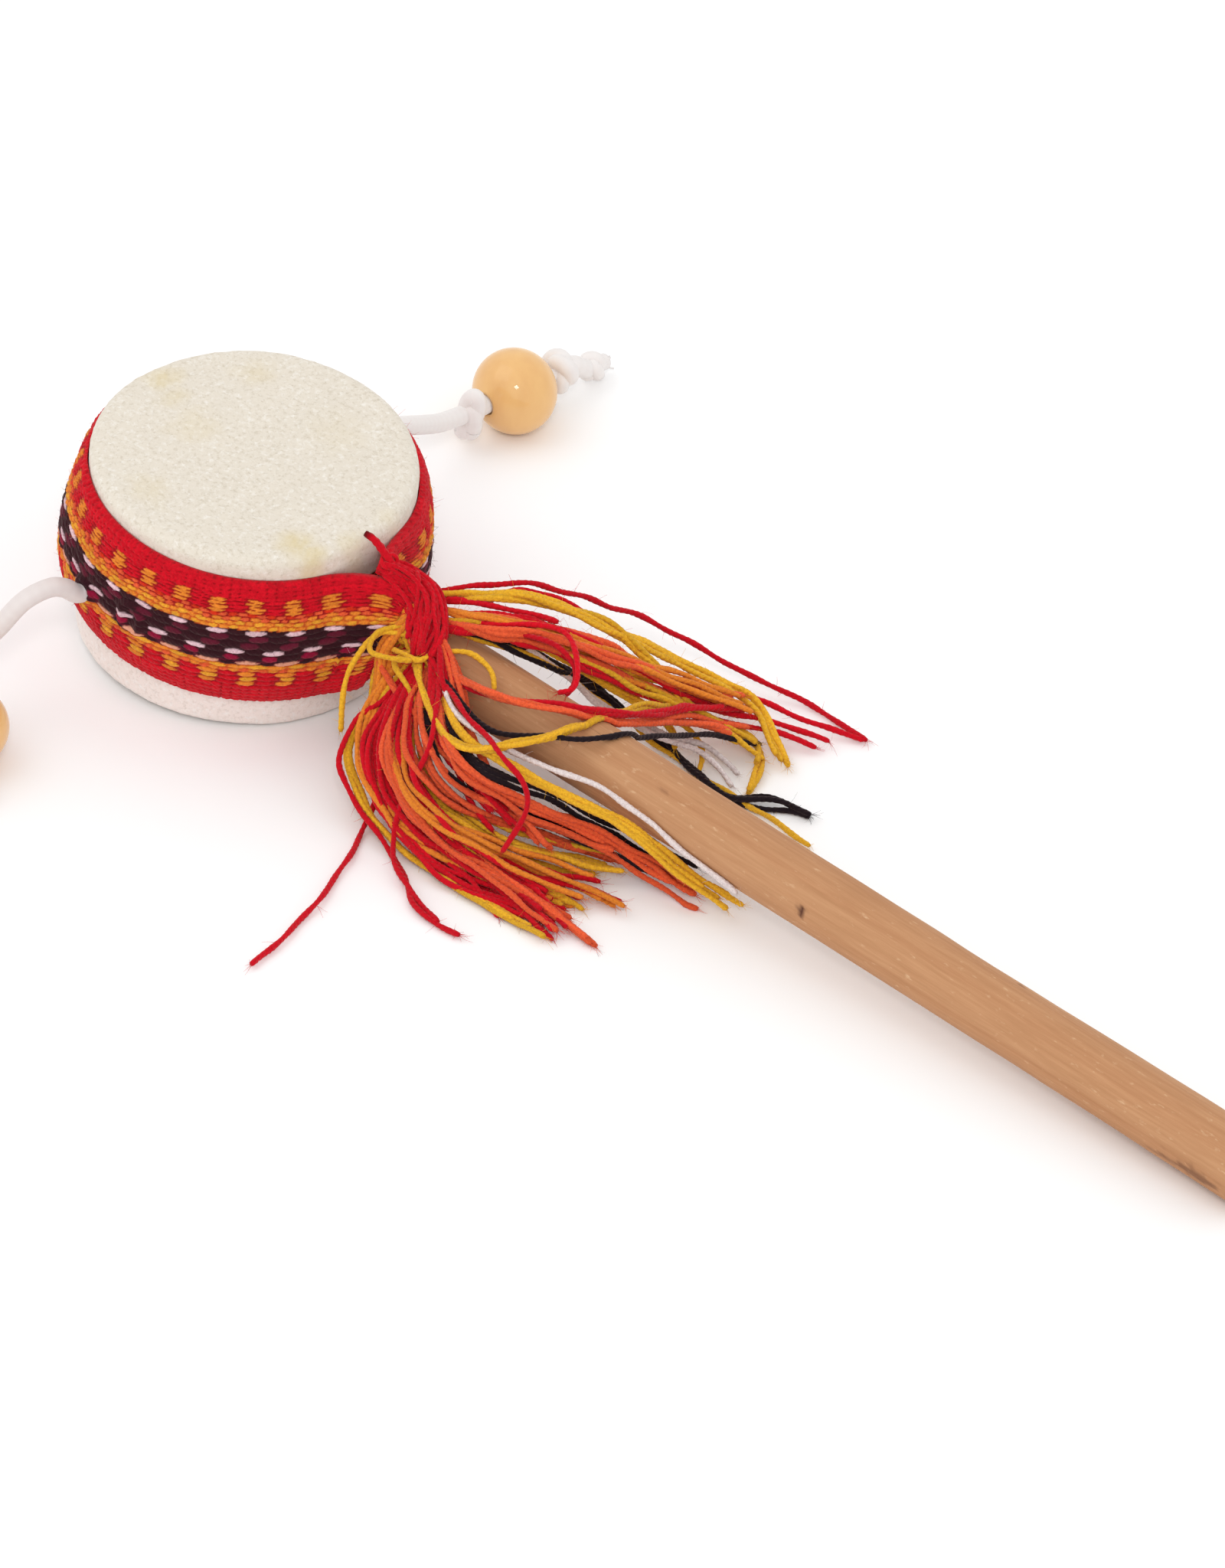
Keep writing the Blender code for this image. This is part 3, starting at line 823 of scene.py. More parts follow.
# Each end's edge from the band's upper side down, its outward direction, and where the tie draws
# it.
bandEnds = {
    "near": {
        "line": [(38.5, -3.5, 12.6), (38.4, -6.5, 7.7), (37.2, -9.0, 1.2), (36.4, -10.5, -3.7)],
        "out": (0.66, -0.75, 0.08),
        "tie": (43.0, -3.5, 9.5),
    },
    "far": {
        "line": [(33.2, -0.6, 14.8), (33.0, 1.2, 11.0), (31.4, 4.0, 5.0), (30.6, 6.5, -4.0)],
        "out": (0.85, 0.45, 0.25),
        "tie": (38.0, 0.4, 12.8),
    },
}
# Rows of warp floats from the upper edge down: the width, the wool of the marked and the plain
# floats, the painted shade colour of the gaps between floats, the period in degrees, the marked
# share of it, and the angle of one mark from the stick. Plain crimson rows, each moved on by half a
# period, close the figured ones in.
crimsonRow = ("crimson", "crimson", "brick", 6, 0.5)
figuredRows = [
    (0.56, "orange", "crimson", "brick", 12, 0.42, -47.0),
    (0.56, "orange", "crimson", "brick", 12, 0.48, -47.4),
    (0.56, "orange", "crimson", "brick", 12, 0.50, -46.6),
    (0.60, "orange", "crimson", "brick", 12, 0.46, -47.2),
    (0.66, "coral", "emberRed", "brick", 6, 0.5, -45.0),
    (0.72, "orange", "coral", "brick", 6, 0.56, -47.0),
    (0.80, "amber", "orange", "rust", 6, 0.6, -45.5),
    (0.84, "amber", "orange", "rust", 6, 0.5, -47.5),
    (1.00, "blush", "ink", "ink", 12, 0.54, -46.5),
    (1.20, "plum", "ink", "ink", 12, 0.5, -45.5),
    (1.40, "ink", "plum", "ink", 12, 0.5, -42.0),
    (1.00, "blush", "ink", "ink", 12, 0.54, -40.6),
    (1.40, "maroon", "ink", "ink", 12, 0.42, -41.5),
    (0.80, "salmon", "ink", "plum", 12, 0.6, -48.4),
    (0.90, "amber", "orange", "rust", 12, 0.5, -45.0),
    (0.80, "orange", "coral", "rust", 6, 0.54, -46.2),
    (1.10, "orange", "crimson", "brick", 12, 0.50, -48.2),
    (1.15, "amber", "crimson", "brick", 12, 0.42, -47.6),
    (1.10, "orange", "crimson", "brick", 12, 0.46, -48.4),
]
bandRows = [
    *((0.60, *crimsonRow, 3.0 * number) for number in range(4)),
    *figuredRows,
    *((1.07, *crimsonRow, 3.0 * number) for number in range(5)),
]


def rowTable(rows):
    # Each fact of the rows as an array, and the rows' edges and middles across the band.
    width, marked, plain, gapShade, period, share, phase = map(list, zip(*rows))
    table = {"width": np.array(width), "period": np.array(period, float), "share": np.array(share)}
    table.update(markedName=marked, plainName=plain, phase=np.array(phase))
    for key, names in (("marked", marked), ("plain", plain), ("gapShade", gapShade)):
        table[key] = linear([palette[name] for name in names])
    table["even"] = np.array(marked) == np.array(plain)
    edges = np.concatenate([[0], np.cumsum(width)])
    table["edges"] = edges * bandFacts["width"] / edges[-1]
    table["middle"] = (table["edges"][1:] + table["edges"][:-1]) / 2
    return table


rows = rowTable(bandRows)


def hashed(first, second):
    # A repeatable random number from 0 to 1 for each pair of whole numbers.
    return np.modf(np.abs(np.sin(first * 12.9898 + second * 78.233) * 43758.5453))[0]


def weave(turn, down):
    # Each point takes the highest of the floats near it. A float is a dome that narrows to its
    # ends, to a point in the figured rows and hardly at all in the plain ones, where the ends meet.
    # The angle round the drum and the distance from the upper edge give the place.
    height = np.full(turn.shape, -0.2)
    colour = np.zeros((*turn.shape, 3))
    lastRow = len(rows["width"]) - 1
    own = np.clip(np.searchsorted(rows["edges"], down) - 1, 0, lastRow)
    for step in (-1, 0, 1):
        row = np.clip(own + step, 0, lastRow)
        share = rows["share"][row]
        place = (turn - rows["phase"][row]) / rows["period"][row] + share / 2
        index = np.floor(place)
        part = place - index
        marked = part < share
        luck = hashed(row * 2 + marked, index)
        even = rows["even"][row]
        x = np.where(marked, part / share, (part - share) / (1 - share)) * 2 - 1
        x = (x + (hashed(index, row + 11) - 0.5) * 0.16) * np.where(even, 0.9, 1.08 - 0.16 * luck)
        halfWidth = rows["width"][row] * np.where(even, 0.58, 0.47 + 0.06 * luck)
        y = (down - rows["middle"][row]) / halfWidth + 0.22 * x * (luck - 0.3)
        inside = 1 - np.abs(x) ** np.where(even, 4.0, 2.0) - y**2
        dome = np.sqrt(np.clip(inside, 0, 1)) * (0.88 + 0.2 * luck)
        wool = np.where(marked[..., None], rows["marked"][row], rows["plain"][row])
        wool = wool * (0.88 + 0.2 * hashed(index + 7, row * 3))[..., None]
        higher = dome > height
        height = np.where(higher, dome, height)
        colour = np.where(higher[..., None], wool, colour)
    # Low places between the floats take the row's darker gap colour: painted shade.
    show = smoothStep(0.1, 0.45, height)[..., None]
    return height, colour * show + rows["gapShade"][own] * (1 - show)


def bandLength():
    # Both flaps and the way round between the leaving angles.
    facts = bandFacts
    return 2 * facts["flap"] + facts["reach"] * 2 * np.radians(180 - facts["leave"])


def bandPlace(travel, across, depth):
    # A point of the band by its distance from the far end, from -1 to 1 across, and 0 outside to 1
    # inside. It lies on a crowned cylinder round the drum, flatter and lower behind and drawn
    # tighter towards the far end; each end is a Hermite curve from there to its edge.
    facts = bandFacts
    whole = bandLength()
    body = np.clip(travel - facts["flap"], 0, whole - 2 * facts["flap"])
    angle = np.radians(facts["leave"]) + body / facts["reach"]
    behind = smoothStep(0.6, 0.95, -np.cos(angle))
    drawn = 1 - smoothStep(0.7, 1.4, angle)
    bulge = facts["bulge"] - facts["slack"] * behind - facts["strain"] * drawn
    outer = facts["innerRadius"] + facts["edge"] + bulge * (1 - np.abs(across) ** facts["crown"])
    radius = outer * (1 - depth) + (facts["innerRadius"] - 0.1) * depth
    middle = facts["middle"] + facts["slant"] * np.cos(angle) - facts["sink"] * behind
    height = middle + across * facts["width"] / 2
    start = np.stack([radius * np.cos(angle), radius * np.sin(angle), height], -1)
    isFar = travel < whole / 2
    leaving = np.stack([-np.sin(angle), np.cos(angle), np.zeros_like(angle)], -1)
    leaving = leaving * np.where(isFar, -1, 1)[..., None]
    finish, pull = np.zeros_like(start), np.zeros_like(start)
    for side, chosen in (("far", isFar), ("near", ~isFar)):
        line = np.array(bandEnds[side]["line"])
        stops = np.linspace(-1, 1, len(line))
        edge = np.stack([np.interp(-across, stops, line[:, axis]) for axis in range(3)], -1)
        edge = edge - np.array(bandEnds[side]["out"]) * (facts["thickness"] * depth)[..., None]
        finish = np.where(chosen[..., None], edge, finish)
        pull = np.where(chosen[..., None], unit(np.array(bandEnds[side]["tie"]) - edge), pull)
    t = np.clip(1 - np.minimum(travel, whole - travel) / facts["flap"], 0, 1)[..., None]
    span = np.linalg.norm(finish - start, axis=-1, keepdims=True)
    early, late = (1 - t) ** 2, t**2
    return (
        early * (1 + 2 * t) * start + early * t * span * leaving
        + late * (3 - 2 * t) * finish - late * (1 - t) * span * 0.8 * pull
    )


def bandPattern(travel, across, flat):
    # The weave's height and colour. Its rows wander a little, climb at the near side of the back,
    # and drop towards the far end.
    facts = bandFacts
    turn = facts["leave"] + np.degrees((travel - facts["flap"]) / facts["reach"])
    turn = turn - 360 * (turn > 180)
    share = (1 - across) / 2
    bend = softNoise(flat, 11.0, 31) * 0.16 + softNoise(flat, 3.0, 32) * 0.05
    climb = smoothStep(100, 145, -turn) - smoothStep(150, 180, -turn)
    bend = bend + facts["climb"] * climb * (1 - share**4)
    drop = smoothStep(-65, -35, -turn) * (turn > 0)
    bend = bend - facts["drop"] * drop * (1 - (1 - share) ** 4)
    down = np.clip(share * facts["width"] + bend, 0.02, facts["width"] - 0.02)
    height, colour = weave(turn, down)
    return height, colour * (1 + 0.07 * softNoise(flat, 0.8, 34))[..., None]


def bandFluff(outer, normal, colour):
    # Short hairs that lean out of the band here and there, in the wool they stand on.
    facts = bandFacts
    chance = np.random.default_rng(35)
    hairs = facts["hairs"]
    row = chance.integers(facts["along"], size=hairs)
    picked = row, chance.integers(4, facts["across"] - 4, size=hairs)
    ways = unit(normal[picked] + chance.normal(size=(hairs, 3)) * 0.7)
    lengths = chance.uniform(0.4, 1.0, hairs)
    arrays = hairArrays(outer[picked] - ways * 0.2, ways, lengths, facts["hair"], chance)
    return arrays, np.repeat(colour[picked], hairRings * hairSides, axis=0)


def makeBand():
    # The outer face is pushed out by its weave, tucked in at its edges and raised round the cords'
    # holes; five columns of the inner face close it.
    facts = bandFacts
    steps = np.linspace(0, bandLength(), facts["along"])
    travel, across = np.meshgrid(steps, np.linspace(-1, 1, facts["across"]), indexing="ij")
    outer = bandPlace(travel, across, np.zeros_like(travel))
    normal = unit(np.cross(np.gradient(outer, axis=0), np.gradient(outer, axis=1)))
    flat = np.stack([travel, (1 - across) / 2 * facts["width"]], 2)
    height, colour = bandPattern(travel, across, flat)
    edge = smoothStep(facts["tuckFrom"], 1.0, np.abs(across))
    push = (height - 0.5) * facts["relief"] * (1 - 0.5 * edge) - facts["tuck"] * edge**2
    push = push + softNoise(flat, 0.9, 33) * facts["nap"]
    hole = facts["hole"]
    for side in ("near", "far"):
        away = outer - toDrum(fromFloor(cordFacts[side]["route"][cordFacts[side]["exitPoint"]]))
        away = np.linalg.norm(away - normal * (away * normal).sum(-1, keepdims=True), axis=-1)
        push = push + hole["rise"] * np.exp(-(((away - hole["radius"]) / hole["lip"]) ** 2))
    outer = outer + normal * push[..., None]
    outer[..., 2] += facts["scallop"] * np.sin(travel * 4.0) * edge * np.sign(across)
    innerTravel, innerAcross = np.meshgrid(steps, np.linspace(1, -1, 5), indexing="ij")
    inner = bandPlace(innerTravel, innerAcross, np.ones_like(innerTravel))
    rings = np.concatenate([outer, inner], 1)

    def ridges(ring, side):
        # Slanting ridges, one to a unit, from the millimetres between rings and between sides.
        ringStep, sideStep = 0.34, 0.17
        along, down = ring * ringStep, side * sideStep
        return (along + down * facts["ridgeSlant"]) / facts["ridge"], along / 10

    cloth = closedRings(rings, rings[[0, -1]].mean(axis=1), ridges)
    red = linear(palette["crimson"])
    tones = np.concatenate([colour, np.broadcast_to(red, inner.shape)], 1).reshape(-1, 3)
    tones = np.vstack([tones, np.broadcast_to(red, (2, 3))])
    parts = [(cloth, tones), bandFluff(outer, normal, colour)]
    return woolPiece("band_woven", parts, fromDrum, "band_wool", bandWool, "woven_band")


band = makeBand()
print("band")

# The stick: a straight branch, barely uneven, with a small knot and a dark patch near its sawn
# end. Millimetres from the drum's middle.
stickFacts = {
    "radius": 6.1, "endRadius": 6.4, "flare": 180.0, "root": -26.4, "chamfer": 0.8,
    "around": 72, "step": 0.9, "knotRise": 0.12, "knotSink": 0.25,
}
# Marks on the stick, the knot first: place along it, angle round it in degrees, length, width and
# strength.
stickMarks = [
    (130.0, 166.0, 1.2, 1.0, 1.0), (218.0, 193.0, 7.0, 1.2, 0.6), (211.0, 199.0, 4.5, 0.7, 0.4),
    (171.0, 60.0, 0.9, 0.5, 0.5), (96.0, 120.0, 1.2, 0.4, 0.3),
]


def makeStick():
    # Rings along the axis; the radius grows past the flare and has long shallow grooves.
    facts = stickFacts
    places = np.arange(facts["root"], stickReach - facts["chamfer"], facts["step"])
    places = np.append(places, stickReach - facts["chamfer"])[:, None]
    turns = aroundTurns(facts["around"])[0]
    share = np.clip((places - facts["flare"]) / (stickReach - facts["flare"]), 0, 1)
    outside = smoothStep(29, 34, places)

    def grain(length, girth, size, seed):
        # Soft noise over the stick's side, with its length and its girth scaled apart.
        spots = np.broadcast_arrays(places / length, np.cos(turns) * girth, np.sin(turns) * girth)
        return softNoise(np.stack(spots, 2), size, seed)

    def sideways(angle):
        # Millimetres round the stick from an angle in degrees.
        return np.angle(np.exp(1j * (turns - np.radians(angle))))[None] * facts["radius"]

    radius = facts["radius"] + (facts["endRadius"] - facts["radius"]) * share
    radius = radius + (grain(26, 3, 3.0, 41) * 0.07 + grain(18, 6.3, 1.1, 42) * 0.03) * outside
    ragged = 1 + 0.3 * grain(2, 6.3, 1.5, 43)
    mark = np.zeros_like(radius)
    for along, angle, length, width, strength in stickMarks:
        far = np.hypot((places - along) / length, sideways(angle) / width) * ragged
        mark = np.maximum(mark, strength * (1 - smoothStep(0.5, 1.0, far)))
    knot = np.hypot(places - stickMarks[0][0], sideways(stickMarks[0][1]))
    radius = radius + facts["knotRise"] * np.exp(-((knot / 3.0) ** 2))
    radius = radius - facts["knotSink"] * np.exp(-((knot / 0.7) ** 2))
    chamfer = radius[-1:] - facts["chamfer"]
    radius = np.vstack([radius, chamfer, chamfer * 0.5])
    mark = np.vstack([mark, mark[-1:], mark[-1:] * 0.6])
    places = np.append(places, [stickReach, stickReach])[:, None]
    rings = np.broadcast_arrays(places, radius * np.cos(turns), radius * np.sin(turns))
    middles = [[places[0, 0], 0, 0], [places[-1, 0], 0, 0]]
    points, quads, tris, _ = closedRings(np.stack(rings, 2), middles)
    stain = {"stain": np.concatenate([mark.ravel(), [0, 0]])}
    arrays = (fromDrum(points), quads, tris, None)
    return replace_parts(makePiece("stick_handle", arrays, stickWood, stain), "handle")


makeStick()
print("stick")

# Loose yarns, in millimetres.
yarnFacts = {
    "radius": 0.5, "sides": 7, "step": 0.5, "pitch": 2.4, "plies": 0.09, "floor": 0.6,
    "stickGap": 0.6, "stray": 0.6, "crossing": 0.5, "kink": 0.2, "kinkSize": 16.0,
    "unequal": 0.09, "hairsPerMm": 0.22, "hair": 0.04, "lowestHair": 0.1, "frays": 9,
}
# Each lock is its wool, how many yarns, how far they stand apart, and its way from the tie to the
# tips, from the floor under the drum's middle.
farLocks = [
    ("crimson", 1, 0.0, (40, 4, 28), (45, 9, 29), (50, 16, 28), (57, 32, 17), (63, 40, 10),
     (73, 46, 4), (85, 50, 1), (97, 49, 1)),
    ("crimson", 1, 0.0, (41, 3, 27), (47, 7, 28), (51, 16, 27), (61, 28, 16), (70, 37, 8),
     (86, 44, 3), (97, 49, 1)),
    ("crimson", 1, 0.3, (41, 3, 27), (48, 6, 28), (55, 10, 28), (60, 11, 28)),
    ("crimson", 1, 0.0, (45, -2, 26), (54, 4, 27), (60, 5, 28), (65, 6, 28), (69, 5, 27),
     (71, 3, 25.5), (71, 1, 24)),
    ("crimson", 1, 0.0, (43, 0, 26), (53, 4, 28), (60, 8, 29), (65, 8, 29), (70, 5, 27.5),
     (72, 2, 26), (70, 0, 25)),
    ("gold", 4, 1.2, (40, 3, 28), (47, 8, 29), (54, 13, 29), (64, 24, 20), (71, 34, 11),
     (80, 39, 6), (88, 36, 3), (96, 32, 1)),
    ("gold", 4, 1.2, (41, 3, 27), (51, 10, 29), (60, 21, 23), (69, 25, 16), (77, 28, 8),
     (84, 34, 3), (89, 29, 2), (91, 23, 1)),
    ("coral", 3, 0.9, (42, 1, 27), (50, 4, 28), (57, 9, 27), (64, 17, 23), (68, 23, 16)),
    ("coral", 6, 1.8, (43, 0, 26), (52, 2, 27), (60, 8, 26), (68, 17, 20), (74, 28, 11),
     (81, 38, 5)),
    ("crimson", 2, 0.8, (43, 1, 27), (56, 9, 28), (65, 16, 23), (73, 25, 14), (77, 32, 8),
     (81, 41, 4)),
    ("orange", 5, 1.6, (42, 1, 27), (52, 4, 28), (61, 11, 25), (69, 19, 19), (76, 28, 12),
     (83, 36, 6)),
    ("gold", 4, 1.6, (43, 0, 26), (54, 5, 27), (64, 13, 22), (72, 22, 14), (80, 30, 7),
     (88, 34, 2)),
    ("gold", 3, 1.2, (44, 0, 26), (56, 6, 26), (65, 15, 19), (70, 30, 9), (75, 39, 4)),
    ("black", 1, 0.3, (46, 0, 25), (53, 3, 25), (58, 7, 21), (61, 15, 15), (62, 21, 9),
     (64, 22, 5)),
    ("crimson", 2, 0.9, (45, -1, 26), (58, 6, 26), (67, 14, 20), (75, 26, 10), (84, 38, 4),
     (97, 45, 1)),
    ("black", 3, 1.6, (46, 0, 25), (56, 7, 23), (63, 20, 9), (75, 24, 2), (90, 22, 1), (98, 27, 1),
     (106, 28, 1)),
    ("gold", 1, 0.3, (46, 0, 25), (58, 8, 21), (65, 21, 6), (78, 23, 1), (95, 22, 1), (109, 21, 1)),
    ("white", 2, 0.9, (46, 0, 25), (57, 8, 22), (65, 17, 10), (75, 21, 6), (81, 25, 4),
     (90, 24, 1)),
    ("gold", 2, 0.8, (44, 0, 26), (56, 6, 25), (66, 16, 16), (74, 24, 6), (78, 22, 2)),
    ("gold", 1, 0.3, (44, 0, 26), (56, 6, 25), (68, 17, 15), (78, 27, 4), (83, 22, 1)),
    ("crimson", 2, 0.5, (50, -7, 23), (60, -8, 24), (68, -6, 25), (75, 0, 24), (79, 10, 19),
     (79, 23, 13), (81, 39, 5)),
    ("coral", 4, 1.1, (48, -6, 23), (57, -8, 24), (66, -8, 25), (74, -3, 24), (79, 7, 18),
     (80, 21, 11), (85, 33, 4)),
    ("gold", 3, 0.7, (50, -12, 22), (58, -17, 21), (66, -18, 21), (73, -13, 23), (77, -5, 23.5),
     (77, 6, 20), (76, 16, 16), (76, 29, 8)),
    ("black", 1, 0.3, (52, -9, 23), (66, -13, 22), (76, -8, 23), (82, -1, 22), (83, 9, 17),
     (82, 23, 9), (86, 34, 3)),
]
nearLocks = [
    ("crimson", 1, 0.0, (44, -6, 22), (44, -14, 18), (42, -20, 14), (44, -26, 10), (51, -28, 5),
     (61, -30, 1), (71, -37, 1), (82, -38, 1)),
    ("crimson", 1, 0.0, (44, -7, 22), (46, -13, 14), (49, -20, 7), (51, -27, 1), (55, -36, 1),
     (59, -49, 1), (61, -59, 1), (62, -68, 1)),
    ("gold", 3, 1.0, (43, -6, 22), (43, -16, 16), (43, -22, 11), (49, -26, 6), (59, -28, 2),
     (73, -29, 1), (93, -29, 1)),
    ("crimson", 13, 2.6, (43, -5, 22), (45, -14, 17), (47, -21, 13), (55, -25, 6), (69, -26, 2),
     (81, -23, 1), (90, -21, 1)),
    ("crimson", 11, 2.2, (45, -6, 22), (48, -16, 19), (53, -23, 12), (64, -25, 6), (79, -24, 3),
     (95, -27, 1)),
    ("coral", 8, 2.3, (45, -6, 22), (48, -15, 19), (54, -23, 14), (65, -25, 7), (81, -24, 4),
     (93, -23, 2), (100, -24, 1)),
    ("coral", 6, 2.8, (46, -6, 22), (52, -16, 19), (60, -22, 15), (69, -19, 9), (80, -12, 5),
     (92, -5, 2)),
    ("gold", 6, 2.2, (45, -6, 22), (51, -17, 16), (59, -21, 10), (71, -19, 6), (82, -12, 3),
     (90, -7, 2)),
    ("crimson", 6, 2.0, (45, -6, 21), (50, -17, 15), (61, -23, 9), (76, -23, 4), (86, -16, 3),
     (96, -12, 2)),
    ("crimson", 4, 1.4, (44, -3, 26), (49, -6, 25), (54, -10, 22), (59, -14, 18), (66, -17, 13),
     (75, -18, 8)),
    ("coral", 3, 1.4, (44, -3, 26), (50, -5, 25), (56, -9, 22), (62, -13, 18), (70, -15, 12),
     (82, -15, 6)),
    ("black", 2, 0.6, (47, -6, 22), (56, -17, 19), (64, -20, 15), (71, -15, 9), (81, -8, 6),
     (89, -4, 4)),
    ("black", 3, 0.9, (48, -6, 22), (59, -15, 20), (69, -18, 18), (77, -11, 13), (86, -5, 8),
     (102, 0, 3)),
    ("black", 2, 0.7, (48, -8, 21), (57, -15, 17), (69, -15, 10), (83, -9, 6), (95, -5, 4),
     (103, -1, 2)),
    ("coral", 6, 1.6, (48, -7, 22), (58, -16, 20), (66, -20, 18), (75, -16, 13), (87, -8, 7),
     (106, -3, 1)),
    ("gold", 5, 1.2, (50, -8, 22), (60, -15, 21), (68, -16, 20), (78, -13, 17), (87, -9, 14),
     (94, -8, 13), (106, -5, 7), (114, -1, 2)),
    ("white", 1, 0.0, (49, -7, 23), (58, -13, 22), (67, -14, 21), (78, -11, 19), (86, -8, 18),
     (93, -7, 16), (105, -6, 13), (116, -6, 10)),
    ("crimson", 1, 0.0, (52, -9, 23), (60, -13, 23), (70, -16, 22), (77, -17, 19), (79, -18, 14),
     (78, -23, 8)),
    ("gold", 1, 0.0, (43, -5, 25), (38, -9, 25), (36, -13, 21), (37, -17, 18), (39, -20, 11)),
    ("gold", 1, 0.0, (42, -4, 26), (38, -9, 26), (39, -13, 24.5), (43, -12.5, 24.5), (46, -10, 24)),
    ("gold", 1, 0.0, (44, -6, 24), (43, -11, 23), (48, -13, 20.5), (55, -15, 17), (59, -17, 16)),
    ("gold", 1, 0.0, (47, -9, 24.5), (48, -6, 25), (52, -3, 25), (57, -3, 24.5), (60, -5, 23)),
    ("crimson", 1, 0.0, (47, -5, 23), (55, -14, 22), (59, -20, 19), (58, -25, 10), (59, -29, 4),
     (64, -33, 2), (77, -38, 1)),
    ("crimson", 5, 2.2, (45, -6, 23), (49, -15, 19), (56, -23, 14), (67, -25, 8), (81, -22, 4),
     (90, -19, 1)),
    ("orange", 5, 2.6, (44, -6, 22), (49, -16, 17), (57, -24, 12), (68, -24, 8), (80, -20, 5),
     (92, -15, 2), (99, -14, 1)),
    ("orange", 5, 1.6, (43, -5, 22), (42, -12, 19), (45, -21, 13), (52, -26, 8), (63, -27, 4),
     (78, -24, 2), (91, -19, 1)),
    ("gold", 3, 1.4, (44, -6, 22), (48, -15, 18), (56, -23, 12), (67, -25, 7), (80, -22, 4),
     (95, -19, 1)),
    ("orange", 9, 1.2, (41, -4, 28), (40, -6, 26), (39, -9, 22), (41, -12, 17), (45, -18, 12),
     (52, -22, 9)),
    ("gold", 4, 1.0, (41, -4, 28), (39, -6, 26), (38, -9, 21), (40, -13, 16), (43, -19, 12),
     (49, -24, 9)),
    ("coral", 2, 0.5, (40, -11, 20), (50, -15, 19), (60, -18, 17), (69, -17, 13), (79, -14, 6)),
    ("crimson", 4, 1.2, (47, -6, 23), (54, -13, 21), (62, -17, 17), (70, -16, 13), (78, -14, 8)),
]
# Which of the band's wools goes on into which loose yarn, and which yarns come out of the tie.
warpOf = {"black": "ink", "white": "blush", "gold": "amber"}
tiedWools = ("black", "white")


def keepOutside(places):
    # Moves points up off the floor and out of the stick, each by as little as it needs.
    facts = yarnFacts
    local = toDrum(places)
    reach = np.hypot(local[:, 1], local[:, 2])
    needed = stickFacts["radius"] + facts["stickGap"]
    inside = (reach < needed) & (local[:, 0] > drum["radius"])
    local[:, 1:] *= np.where(inside, needed / np.maximum(reach, 0.5), 1.0)[:, None]
    moved = fromDrum(local)
    moved[:, 2] = np.maximum(moved[:, 2], facts["floor"] * mm)
    return moved


def yarnTube(line, wool, chance, scale=1.0):
    # Two plies: the section is widest along a line that turns steadily; the yarn is a little
    # uneven and rounds off at its ends.
    facts = yarnFacts
    along = travelled(line)[:, None]
    wave = chance.uniform(0, 6.28, 3)
    uneven = 1 + 0.08 * np.sin(along / 1.7 + wave[0]) + 0.06 * np.sin(along / 0.9 + wave[1])
    turns = aroundTurns(facts["sides"]) - along * 2 * np.pi / facts["pitch"]
    plies = 1 + facts["plies"] * np.cos(2 * turns + wave[2])
    ends = np.minimum(1, 0.7 + np.minimum(along, along[-1] - along) / 1.5) * scale
    size = facts["radius"] * uneven * plies * ends
    arrays = tubeArrays(line, size, facts["sides"], facts["pitch"] / 2)
    return toned(arrays, linear(palette[wool]) * chance.uniform(0.84, 1.08))


def yarnHairs(line, wool, chance, lowest=None, frays=yarnFacts["frays"]):
    # Fibres that stand off a yarn here and there, and a few that run on past its tip, in its wool.
    facts = yarnFacts
    tangent = unit(np.gradient(line, axis=0))
    count = max(int(travelled(line)[-1] * facts["hairsPerMm"]), 1)
    picked = np.append(chance.integers(1, len(line) - 1, size=count), np.full(frays, len(line) - 1))
    lean = np.append(chance.uniform(-0.8, 0.8, count), np.full(frays, 2.5))[:, None]
    ways = unit(np.cross(tangent[picked], chance.normal(size=(count + frays, 3))))
    ways = unit(ways + tangent[picked] * lean)
    roots = line[picked] + ways * facts["radius"] * 0.6 - tangent[picked] * (lean > 2) * 0.4
    lengths = chance.uniform(0.6, 1.7, count + frays)
    arrays = hairArrays(roots, ways, lengths, facts["hair"], chance)
    if lowest is not None:
        arrays[0][:, 2] = np.maximum(arrays[0][:, 2], lowest)
    return toned(arrays, np.minimum(linear(palette[wool]) * 1.05, 1))


def bandEnd(side, wool, chance):
    # A place on the end edge of the band, in a row of the same wool.
    name = warpOf.get(wool, wool)
    own = [i for i, names in enumerate(zip(rows["markedName"], rows["plainName"])) if name in names]
    across = 1 - 2 * rows["middle"][chance.choice(own)] / bandFacts["width"]
    travel = 0.5 if side == "far" else bandLength() - 0.5
    return bandPlace(np.array(travel), np.array(across), np.array(0.5))


